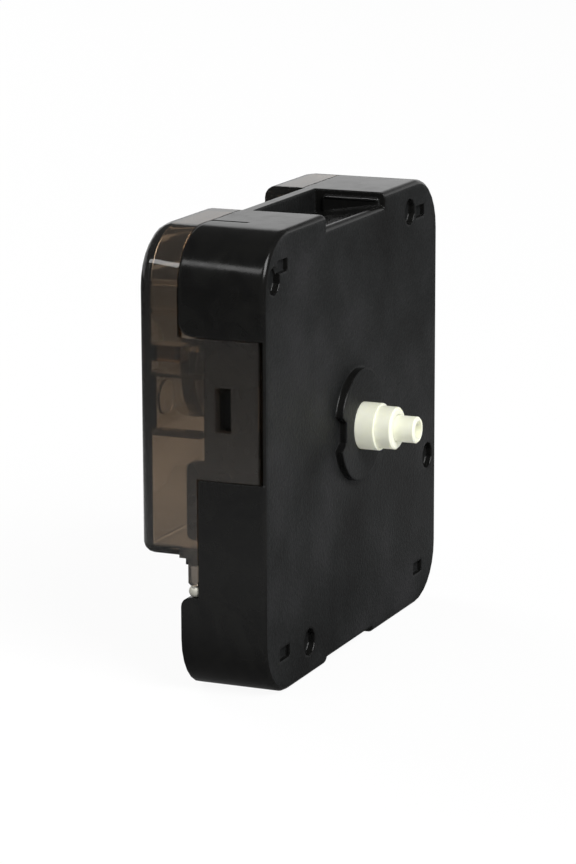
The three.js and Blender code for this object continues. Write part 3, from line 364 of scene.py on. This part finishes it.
# Ferrite, pressed and sintered: dark grey and slightly gritty, like fine stone.
def sintered_ferrite():
    material, tree = new_material("sintered_ferrite")
    coords = node(tree, "ShaderNodeTexCoord")
    grit = node(tree, "ShaderNodeTexNoise", {"Scale": 1 / mm(GRIT_MM), "Detail": 3.0},
                {"Vector": (coords, "Object")})
    tint = node(tree, "ShaderNodeValToRGB", links={"Fac": (grit, "Fac")},
                stops=[(0.3, "2c2d30"), (0.7, "45464a")])
    bump = node(tree, "ShaderNodeBump", {"Strength": 0.6, "Distance": mm(GRIT_DEPTH_MM)},
                {"Height": (grit, "Fac")})
    shader = node(tree, "ShaderNodeBsdfPrincipled", {"Metallic": 0.4, "Roughness": 0.5},
                  {"Base Color": (tint, "Color"), "Normal": (bump, "Normal")})
    node(tree, "ShaderNodeOutputMaterial", links={"Surface": (shader, "BSDF")})
    return material


# Copper wire with a coat of clear enamel: reddish brown, with a wet line of light
# along each turn.
def enamelled_copper_wire():
    material, tree = new_material("enamelled_copper_wire")
    coords = node(tree, "ShaderNodeTexCoord")
    patches = node(tree, "ShaderNodeTexNoise", {"Scale": 1 / mm(ENAMEL_PATCH_MM), "Detail": 2.0},
                   {"Vector": (coords, "Object")})
    tint = node(tree, "ShaderNodeValToRGB", links={"Fac": (patches, "Fac")},
                stops=[(0.3, "8a3a18"), (0.7, "b8602f")])
    shader = node(tree, "ShaderNodeBsdfPrincipled", {
        "Metallic": 0.7, "Roughness": 0.35, "Coat Weight": 0.6, "Coat Roughness": 0.1},
        {"Base Color": (tint, "Color")})
    node(tree, "ShaderNodeOutputMaterial", links={"Surface": (shader, "BSDF")})
    return material


# Glass-fibre laminate under solder resist: green, with the weave of the cloth
# showing faintly every half millimetre.
def resist_coated_laminate():
    material, tree = new_material("resist_coated_laminate")
    coords = node(tree, "ShaderNodeTexCoord")
    weave = node(tree, "ShaderNodeTexChecker", {
        "Scale": 1 / mm(WEAVE_MM), "Color1": linear("1f5a2c"), "Color2": linear("276634")},
        {"Vector": (coords, "Object")})
    bump = node(tree, "ShaderNodeBump", {"Strength": 0.3, "Distance": mm(WEAVE_DEPTH_MM)},
                {"Height": (weave, "Fac")})
    shader = node(tree, "ShaderNodeBsdfPrincipled",
                  {"Roughness": 0.35, "Coat Weight": 0.4, "Coat Roughness": 0.15},
                  {"Base Color": (weave, "Color"), "Normal": (bump, "Normal")})
    node(tree, "ShaderNodeOutputMaterial", links={"Surface": (shader, "BSDF")})
    return material


# Copper foil under solder resist: the same green, a little paler where it covers copper.
def resist_coated_copper():
    material, tree = new_material("resist_coated_copper")
    coords = node(tree, "ShaderNodeTexCoord")
    patches = node(tree, "ShaderNodeTexNoise", {"Scale": 1 / mm(FOIL_PATCH_MM), "Detail": 2.0},
                   {"Vector": (coords, "Object")})
    tint = node(tree, "ShaderNodeValToRGB", links={"Fac": (patches, "Fac")},
                stops=[(0.3, "4d8a3e"), (0.7, "5f9c4a")])
    shader = node(tree, "ShaderNodeBsdfPrincipled",
                  {"Roughness": 0.3, "Coat Weight": 0.5, "Coat Roughness": 0.15},
                  {"Base Color": (tint, "Color")})
    node(tree, "ShaderNodeOutputMaterial", links={"Surface": (shader, "BSDF")})
    return material


# Tin, melted on and cooled: bright and slightly frosted, the rougher the paler.
def cooled_tin(name, codes, roughness):
    material, tree = new_material(name)
    coords = node(tree, "ShaderNodeTexCoord")
    frost = node(tree, "ShaderNodeTexNoise", {"Scale": 1 / mm(FROST_MM), "Detail": 2.0},
                 {"Vector": (coords, "Object")})
    tint = node(tree, "ShaderNodeValToRGB", links={"Fac": (frost, "Fac")},
                stops=[(0.3, codes[0]), (0.7, codes[1])])
    bump = node(tree, "ShaderNodeBump", {"Strength": 0.4, "Distance": mm(FROST_DEPTH_MM)},
                {"Height": (frost, "Fac")})
    shader = node(tree, "ShaderNodeBsdfPrincipled", {"Metallic": 1.0, "Roughness": roughness},
                  {"Base Color": (tint, "Color"), "Normal": (bump, "Normal")})
    node(tree, "ShaderNodeOutputMaterial", links={"Surface": (shader, "BSDF")})
    return material


# Epoxy, dropped on and cured: black and wet looking with a faint orange peel.
def cured_black_epoxy():
    material, tree = new_material("cured_black_epoxy")
    coords = node(tree, "ShaderNodeTexCoord")
    peel = node(tree, "ShaderNodeTexNoise", {"Scale": 1 / mm(PEEL_MM), "Detail": 2.0},
                {"Vector": (coords, "Object")})
    tint = node(tree, "ShaderNodeValToRGB", links={"Fac": (peel, "Fac")},
                stops=[(0.3, "0e0e10"), (0.7, "19191c")])
    bump = node(tree, "ShaderNodeBump", {"Strength": 0.4, "Distance": mm(PEEL_DEPTH_MM)},
                {"Height": (peel, "Fac")})
    shader = node(tree, "ShaderNodeBsdfPrincipled", {"Roughness": 0.18},
                  {"Base Color": (tint, "Color"), "Normal": (bump, "Normal")})
    node(tree, "ShaderNodeOutputMaterial", links={"Surface": (shader, "BSDF")})
    return material


def placed(name, shape, materials, body):
    """Makes a shape into a piece that rides on a body."""
    mesh = bpy.data.meshes.new(name)
    shape.to_mesh(mesh)
    shape.free()
    piece = bpy.data.objects.new(name, mesh)
    bpy.context.scene.collection.objects.link(piece)
    for material in materials:
        mesh.materials.append(material)
    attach(piece, body)
    return piece


def body_slot(name):
    """The body that carries a CAD node, and the node's material slot."""
    source = frame["nodes"][name]
    return body_of(source)[0], source.data.materials[0].name


# Round surfaces of the solids are made of flat facets. A welded copy shades them as
# one, creases stay sharp, and flats keep the normals of their own plane.
def smoothed(name, materials, index_of=None):
    body, slot = body_slot(name)
    shape = bmesh.new()
    shape.from_mesh(frame["nodes"][name].data)
    bmesh.ops.remove_doubles(shape, verts=shape.verts, dist=mm(WELD_MM))
    for face in shape.faces:
        face.smooth = True
        face.material_index = index_of(face) if index_of else 0
    for edge in shape.edges:
        edge.smooth = (
            len(edge.link_faces) == 2
            and edge.calc_face_angle() < math.radians(CREASE_DEGREES))
    piece = placed(name + "_surface", shape, materials, body)
    weigh = piece.modifiers.new("flats_stay_flat", "WEIGHTED_NORMAL")
    weigh.keep_sharp = True
    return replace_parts(piece, name)


def on_dial_side(face):
    return 1 if face.normal.y < -DIAL_FACING else 0


def rings(shape, profile, centre, across, upright, along, sides=TURNED_SIDES):
    """A turned surface of points (radius, distance along), closed where the radius is 0."""
    loops = []
    for radius, distance in profile:
        middle = centre + along * mm(distance)
        if radius == 0:
            loops.append([shape.verts.new(middle)])
            continue
        loops.append([
            shape.verts.new(middle + mm(radius) * (
                across * math.cos(turn) + upright * math.sin(turn)))
            for turn in (2 * math.pi * i / sides for i in range(sides))])
    for near, far in zip(loops, loops[1:]):
        for i in range(sides):
            j = (i + 1) % sides
            corners = [
                near[i % len(near)], near[j % len(near)], far[j % len(far)], far[i % len(far)]]
            face = shape.faces.new(list(dict.fromkeys(corners)))
            face.smooth = True
    bmesh.ops.recalc_face_normals(shape, faces=shape.faces)


AXES = [Vector((1, 0, 0)), Vector((0, 1, 0)), Vector((0, 0, 1))]


# The winding stands between the flanges: a crowned sleeve with a ridge for each turn.
def coil_winding():
    low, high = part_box("coil_winding")
    radius = (high.x - low.x) / 2 * 1000
    length = (high.z - low.z) * 1000
    turns = int(length / WIRE_PITCH_MM)
    profile = [(COIL_BORE_MM, 0.0)]
    for i in range(turns * WIRE_STEPS + 1):
        share = i / (turns * WIRE_STEPS)
        crown = COIL_CROWN_MM * (2 * share - 1) ** 2
        ridge = WIRE_RIDGE_MM * (0.5 - 0.5 * math.cos(2 * math.pi * i / WIRE_STEPS))
        profile.append((radius - crown - WIRE_RIDGE_MM + ridge, share * length))
    profile.append((COIL_BORE_MM, length))
    shape = bmesh.new()
    centre = Vector(((low.x + high.x) / 2, (low.y + high.y) / 2, low.z))
    rings(shape, profile + profile[:1], centre, AXES[0], AXES[1], AXES[2])
    body, slot = body_slot("coil_winding")
    piece = placed("wire_winding", shape, [enamelled_copper_wire()], body)
    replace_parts(piece, "coil_winding")


# A drop of resin spreads unevenly, so its rim is slightly lobed.
def chip_drop():
    low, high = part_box("chip_cover")
    radius = (high.x - low.x) / 2 * 1000
    height = (high.y - low.y) * 1000
    profile = [(0, 0.0), (radius * DROP_FOOT_SHARE, 0.0)]
    for degrees in DROP_DEGREES:
        turn = math.radians(degrees)
        profile.append((radius * math.cos(turn) ** DROP_ROUNDNESS, height * math.sin(turn)))
    profile.append((0, height))
    shape = bmesh.new()
    centre = Vector(((low.x + high.x) / 2, low.y, (low.z + high.z) / 2))
    rings(shape, profile, centre, AXES[0], AXES[2], AXES[1])
    middle, wide, narrow = DROP_LOBE_SHARES
    for vert in shape.verts:
        away = vert.co - centre
        turn = math.atan2(away.z, away.x)
        lobe = middle + wide * math.sin(3 * turn + 1) + narrow * math.sin(5 * turn)
        vert.co.x = centre.x + away.x * lobe
        vert.co.z = centre.z + away.z * lobe
    body, slot = body_slot("chip_cover")
    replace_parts(placed("chip_drop", shape, [cured_black_epoxy()], body), "chip_cover")


# The can is drawn from sheet: a rim at its lead end, and a rounded far end.
def crystal_can(finish):
    low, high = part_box("crystal_can")
    radius = (high.z - low.z) / 2 * 1000
    length = (high.x - low.x) * 1000
    foot, rim, body_radius = (
        radius * share for share in (CAN_FOOT_SHARE, CAN_RIM_SHARE, CAN_BODY_SHARE))
    shoulder, cap = (radius * share for share in CAN_END_SHARES)
    rim_low, rim_high, neck = CAN_RIM_MM
    bend, crest = CAN_END_MM
    profile = [
        (0, 0.0), (foot, 0.0), (rim, rim_low), (rim, rim_high), (body_radius, neck),
        (body_radius, length - bend), (shoulder, length - crest), (cap, length), (0, length)]
    shape = bmesh.new()
    centre = Vector((low.x, (low.y + high.y) / 2, (low.z + high.z) / 2))
    rings(shape, profile, centre, AXES[1], AXES[2], AXES[0], CAN_SIDES)
    body, slot = body_slot("crystal_can")
    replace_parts(placed("drawn_crystal_can", shape, [finish], body), "crystal_can")


def on_board(across, up, rise=0.0):
    """A point on the back of the circuit board, in millimetres from its lower left corner."""
    low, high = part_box("circuit_board")
    return Vector((low.x + mm(across), high.y + mm(rise), low.z + mm(up)))


def strip(shape, path, width, rise):
    """A flat strip of foil along a path on the board, mitred at its bends."""
    half = width / 2
    rails = []
    for i, (x, z) in enumerate(path):
        before = Vector(path[max(i - 1, 0)])
        after = Vector(path[min(i + 1, len(path) - 1)])
        way = (after - before).normalized()
        side = Vector((-way.y, way.x)) * half
        rails.append([(x + side.x, z + side.y), (x - side.x, z - side.y)])
    corners = [[
        shape.verts.new(on_board(*left)), shape.verts.new(on_board(*left, rise)),
        shape.verts.new(on_board(*right, rise)), shape.verts.new(on_board(*right))]
        for left, right in rails]
    for near, far in zip(corners, corners[1:]):
        for a in range(4):
            b = (a + 1) % 4
            shape.faces.new([near[a], near[b], far[b], far[a]])
    shape.faces.new(corners[0])
    shape.faces.new(corners[-1])


def domed(half_length, radius, straight=0.0):
    """The profile of a round-ended pill about its middle, for rings()."""
    dome = [(radius * math.cos(turn), half_length * math.sin(turn)) for turn in (
        math.pi * i / (2 * DOME_STEPS) for i in range(DOME_STEPS))] + [(0, half_length)]
    near = [(across, -straight - along) for across, along in reversed(dome)]
    return near + [(across, straight + along) for across, along in dome[0 if straight else 1:]]


# The end of the contact that shows below the cover carries a bright drop of tin.
def contact_bead():
    shape = bmesh.new()
    place = Vector(BEAD_PLACE_MM) / 1000
    rings(shape, domed(*BEAD_RADII_MM), place, AXES[1], AXES[2], AXES[0], BEAD_SIDES)
    body, slot = body_slot("positive_contact")
    tin = cooled_tin("dipped_tin", ("f4f2e6", "fbfaf0"), roughness=0.65)
    placed("contact_bead", shape, [tin], body)


# Two moulded ledges run along the inside of the cover's left wall, each a bar with
# rounded edges. They are dark in the photograph, so their plastic is made to darken the
# light more than the cover's does: painted shade, as they are of the cover's own plastic.
def cover_ledges():
    shape = bmesh.new()
    for back, front, low, high in LEDGES_MM:
        size = Vector((LEDGE_DEPTH_MM, back - front, high - low))
        aside = LEDGE_ASIDE_MM + LEDGE_DEPTH_MM / 2
        middle = Vector((aside, (back + front) / 2, (low + high) / 2))
        made = bmesh.ops.create_cube(shape, matrix=(
            Matrix.Translation(middle / 1000) @ Matrix.Diagonal((*(size / 1000), 1.0))))
        edges = {edge for vert in made["verts"] for edge in vert.link_edges}
        bmesh.ops.bevel(shape, geom=list(edges), offset=mm(LEDGE_ROUND_MM), segments=3,
                        affect="EDGES", profile=0.5)
    body, slot = body_slot("back_cover")
    # Painted shade: the ledges darken the light more than the cover, though both are one plastic
    smoked = smoked_clear_styrene("smoked_clear_styrene_ledges", LEDGE_SHADE_DENSITY)
    placed("cover_ledges", shape, [smoked], body)


# The step in the end wall of the hanging recess has a rounded lip that catches the light.
def recess_lip():
    shape = bmesh.new()
    profile = domed(LIP_RADIUS_MM, LIP_RADIUS_MM, LIP_LENGTH_MM / 2 - LIP_RADIUS_MM)
    rings(shape, profile, Vector(LIP_PLACE_MM) / 1000, AXES[0], AXES[2], AXES[1], LIP_SIDES)
    body, slot = body_slot("front_housing")
    gloss = polished_black_abs("polished_black_abs_lip", ("0b0b0b", "0f0f0f"), gloss=1.0)
    placed("recess_lip", shape, [gloss], body)


def circuit_tracks(solder_tin):
    body, slot = body_slot("circuit_board")
    foil = bmesh.new()
    for path in TRACKS_MM:
        strip(foil, path, TRACK_WIDTH_MM, TRACK_RISE_MM)
    bmesh.ops.recalc_face_normals(foil, faces=foil.faces)
    placed("circuit_tracks", foil, [resist_coated_copper()], body)
    solder = bmesh.new()
    for across, up in PADS_MM:
        rings(solder, [
            (0, 0.0), (PAD_RADIUS_MM, 0.0), (PAD_RADIUS_MM, TRACK_RISE_MM * PAD_RISE_SHARE),
            (SOLDER_RADIUS_MM, TRACK_RISE_MM * SOLDER_FOOT_SHARE),
            *((SOLDER_RADIUS_MM * out, SOLDER_HEIGHT_MM * rise) for out, rise in SOLDER_SHARES),
            (0, SOLDER_HEIGHT_MM)], on_board(across, up), AXES[0], AXES[2], AXES[1], PAD_SIDES)
    placed("solder_joints", solder, [solder_tin], body)


def wire(name, points, radius, material, body):
    """A thin round wire through points given in metres."""
    line = bpy.data.curves.new(name, "CURVE")
    line.dimensions = "3D"
    line.bevel_depth = mm(radius)
    line.bevel_resolution = 3
    line.use_fill_caps = True
    run = line.splines.new("NURBS")
    run.points.add(len(points) - 1)
    for point, place in zip(run.points, points):
        point.co = (*place, 1.0)
    run.use_endpoint_u = True
    run.order_u = 3
    line.materials.append(material)
    piece = bpy.data.objects.new(name, line)
    bpy.context.scene.collection.objects.link(piece)
    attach(piece, body)


# The winding's two ends pass behind the upper flange to their joints on the board,
# and the crystal's two leads bend down to theirs.
def leads(copper, tin):
    body, slot = body_slot("coil_winding")
    low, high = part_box("coil_winding")
    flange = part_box("coil_bobbin")[1]
    middle = (low.x + high.x) / 2
    start, bend, leave = (mm(aside) for aside in COIL_LEAD_ASIDE_MM)
    inward, down = (mm(sunk) for sunk in COIL_LEAD_SUNK_MM)
    over, past = (mm(clear) for clear in COIL_LEAD_OVER_MM)
    behind = flange.y + mm(COIL_LEAD_CLEAR_MM)
    for (across, up), side in zip(COIL_PADS_MM, (-1, 1)):
        pad = on_board(across, up, SOLDER_HEIGHT_MM * 0.5)
        wire("coil_lead_" + ("left" if side < 0 else "right"), [
            Vector((middle + side * start, high.y - inward, high.z - down)),
            Vector((middle + side * bend, behind, high.z)),
            Vector((middle + side * leave, behind, flange.z)),
            Vector((pad.x, pad.y + over, flange.z + past)),
            pad,
        ], LEAD_RADIUS_MM, copper, body)
    low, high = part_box("crystal_can")
    inside, out = (mm(reach) for reach in CRYSTAL_LEAD_MM)
    for (across, up), name in zip(CRYSTAL_PADS_MM, ("upper", "lower")):
        pad = on_board(across, up, SOLDER_HEIGHT_MM * 0.5)
        wire("crystal_lead_" + name, [
            Vector((low.x + inside, (low.y + high.y) / 2, pad.z)),
            Vector((low.x - out, (low.y + high.y) / 2, pad.z)),
            Vector((pad.x, (low.y + high.y) / 2, pad.z)),
            pad,
        ], LEAD_RADIUS_MM * 2, tin, body)


def dress_nodes():
    polished = polished_black_abs("polished_black_abs", ("0f0f0f", "151514"), gloss=0.22)
    knob = polished_black_abs("polished_black_abs_knob", ("121212", "171717"), gloss=0.4)
    pipes = moulded_white_acetal("moulded_white_acetal_pipes", ("eeefdc", "f7f8e6"))
    gears = moulded_white_acetal("moulded_white_acetal_gears", ("e2e2dc", "eeeee8"))
    steel = rolled_metal("rolled_electrical_steel", ("8d8f92", "b1b3b6"),
                         roughness=0.35, across_mm=0.12)
    arbor = rolled_metal("ground_steel_arbor", ("a9abae", "c9cacd"),
                         roughness=0.22, across_mm=0.05)
    nickel = rolled_metal("nickel_plated_spring_strip", ("cfcdc4", "e4e2da"),
                          roughness=0.28, across_mm=0.08)
    finishes = {
        "back_cover": smoked_clear_styrene("smoked_clear_styrene", COVER_DENSITY),
        "setting_knob": knob,
        "hour_wheel": pipes,
        "minute_pipe": pipes,
        "seconds_arbor": arbor,
        "stator_plate": steel,
        "coil_core": steel,
        "rotor_magnet": sintered_ferrite(),
        "circuit_board": resist_coated_laminate(),
        "positive_contact": nickel,
        "negative_contact": nickel,
    }
    rebuilt = {"coil_winding", "chip_cover", "crystal_can"}
    for name in frame["nodes"]:
        if name == "front_housing":
            smoothed(name, [polished, spark_eroded_black_abs()], on_dial_side)
        elif name not in rebuilt:
            smoothed(name, [finishes.get(name, gears)])
    coil_winding()
    chip_drop()
    crystal_can(nickel)
    solder_tin = cooled_tin("cooled_tin_solder", ("b4b5b6", "d2d3d3"), roughness=0.3)
    circuit_tracks(solder_tin)
    leads(enamelled_copper_wire(), solder_tin)
    contact_bead()
    recess_lip()
    cover_ledges()


def photo_camera():
    azimuth, elevation, roll = (
        math.radians(v) for v in (CAMERA_AZIMUTH, CAMERA_ELEVATION, CAMERA_ROLL))
    back = Vector((
        math.sin(azimuth) * math.cos(elevation), -math.cos(azimuth) * math.cos(elevation),
        math.sin(elevation)))
    level = (-back).cross(Vector((0, 0, 1))).normalized()
    upright = level.cross(-back)
    right = level * math.cos(roll) + upright * math.sin(roll)
    up = upright * math.cos(roll) - level * math.sin(roll)
    place = back * CAMERA_DISTANCE_MM + right * CAMERA_RIGHT_MM + up * CAMERA_UP_MM
    place += Vector((0, FACE_Y_MM, CASE_CENTRE_MM))
    lens = bpy.data.cameras.new("photo_camera")
    lens.sensor_fit = "VERTICAL"
    lens.sensor_height = SENSOR_MM
    lens.lens = FOCAL_PIXELS / PHOTO_HEIGHT * SENSOR_MM
    lens.clip_start = mm(CLIP_NEAR_MM)
    lens.clip_end = mm(CLIP_FAR_MM)
    camera = bpy.data.objects.new("photo_camera", lens)
    bpy.context.scene.collection.objects.link(camera)
    turn = Matrix((right, up, back)).transposed().to_4x4()
    camera.matrix_world = Matrix.Translation(place / 1000) @ turn
    bpy.context.scene.camera = camera


# A white sheet of paper that the camera and clear plastic see as white, that takes the
# object's shadow, and that gloss sees with a painted shade, fading with its distance from the
# object.
def white_paper():
    material, tree = new_material("white_paper")
    path = node(tree, "ShaderNodeLightPath")
    seen = node(tree, "ShaderNodeMath", links={
        0: (path, "Is Camera Ray"), 1: (path, "Is Transmission Ray")}, operation="MAXIMUM")
    share = node(tree, "ShaderNodeMath", {1: PAPER_GLOW_SHARE}, {0: (seen, "Value")},
                 operation="MULTIPLY")
    paper = node(tree, "ShaderNodeBsdfDiffuse", {"Color": linear("f7f7f7")})
    glow = node(tree, "ShaderNodeEmission", {"Color": linear("ffffff"), "Strength": 1.0})
    lit = node(tree, "ShaderNodeMixShader", links={
        0: (share, "Value"), 1: (paper, "BSDF"), 2: (glow, "Emission")})
    coords = node(tree, "ShaderNodeTexCoord")
    away = node(tree, "ShaderNodeVectorMath", links={0: (coords, "Object")}, operation="LENGTH")
    near = node(tree, "ShaderNodeMapRange", {
        "From Min": mm(PAPER_NEAR_MM), "From Max": mm(PAPER_FAR_MM)}, {"Value": (away, "Value")})
    # Painted shade and painted reflection: for gloss the paper glows grey by the object, paler
    # around it, dim further off
    painted_shade = node(tree, "ShaderNodeValToRGB", links={"Fac": (near, "Result")}, stops=PAPER_PAINTED_SHADE_IN_GLOSS)
    mirrored = node(tree, "ShaderNodeEmission", {"Strength": 1.0}, {"Color": (painted_shade, "Color")})
    mixed = node(tree, "ShaderNodeMixShader", links={
        0: (path, "Is Glossy Ray"), 1: (lit, "Shader"), 2: (mirrored, "Emission")})
    node(tree, "ShaderNodeOutputMaterial", links={"Surface": (mixed, "Shader")})
    return material


def paper_floor():
    shape = bmesh.new()
    bmesh.ops.create_circle(
        shape, cap_ends=True, radius=mm(FLOOR_RADIUS_MM), segments=FLOOR_SIDES)
    mesh = bpy.data.meshes.new("paper_floor")
    shape.to_mesh(mesh)
    shape.free()
    floor = bpy.data.objects.new("paper_floor", mesh)
    floor.location.z = -mm(FLOOR_DROP_MM)
    bpy.context.scene.collection.objects.link(floor)
    mesh.materials.append(white_paper())


def softbox(name, place, aim, width, height, radiance, mirrored):
    lamp = bpy.data.lights.new(name, "AREA")
    lamp.shape = "RECTANGLE"
    lamp.size = width
    lamp.size_y = height
    lamp.energy = radiance * math.pi * width * height
    light = bpy.data.objects.new(name, lamp)
    light.location = place
    light.rotation_euler = (Vector(aim) - Vector(place)).to_track_quat("-Z", "Y").to_euler()
    light.visible_camera = False
    light.visible_glossy = mirrored
    bpy.context.scene.collection.objects.link(light)


def studio():
    world = bpy.data.worlds.new("studio")
    world.use_nodes = True
    tree = world.node_tree
    tree.nodes.clear()
    coords = node(tree, "ShaderNodeTexCoord")
    parts = node(tree, "ShaderNodeSeparateXYZ", links={"Vector": (coords, "Generated")})
    beyond = node(tree, "ShaderNodeVectorMath", {1: BACKDROP_WAY}, {0: (coords, "Generated")},
                  operation="DOT_PRODUCT")
    far = node(tree, "ShaderNodeMapRange", {"From Min": 0.0, "From Max": BACKDROP_EDGE},
               {"Value": (beyond, "Value")})
    low = node(tree, "ShaderNodeMapRange", {
        "From Min": BACKDROP_TOP, "From Max": BACKDROP_TOP + BACKDROP_FADE,
        "To Min": 1.0, "To Max": 0.0},
        {"Value": (parts, "Z")})
    backdrop = node(tree, "ShaderNodeMath", links={0: (far, "Result"), 1: (low, "Result")},
                    operation="MULTIPLY")
    mirrored = node(tree, "ShaderNodeMapRange", {"To Min": ROOM_GLOSS, "To Max": BACKDROP_GLOSS},
                    {"Value": (backdrop, "Value")})
    path = node(tree, "ShaderNodeLightPath")
    seen = node(tree, "ShaderNodeMath", links={
        0: (path, "Is Camera Ray"), 1: (path, "Is Transmission Ray")}, operation="MAXIMUM")
    unseen = node(tree, "ShaderNodeMapRange", {"To Min": ROOM_LIGHT, "To Max": 1.0},
                  {"Value": (seen, "Value")})
    level = node(tree, "ShaderNodeMix", links={
        "Factor": (path, "Is Glossy Ray"), "A": (unseen, "Result"), "B": (mirrored, "Result")})
    sky = node(tree, "ShaderNodeBackground", {"Color": linear("ffffff")},
               {"Strength": (level, "Result")})
    node(tree, "ShaderNodeOutputWorld", links={"Surface": (sky, "Background")})
    bpy.context.scene.world = world
    for name, lamp in LAMPS.items():
        softbox(name, *lamp)


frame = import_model()
dress_nodes()
photo_camera()
paper_floor()
studio()
bpy.context.scene.view_settings.view_transform = "Standard"
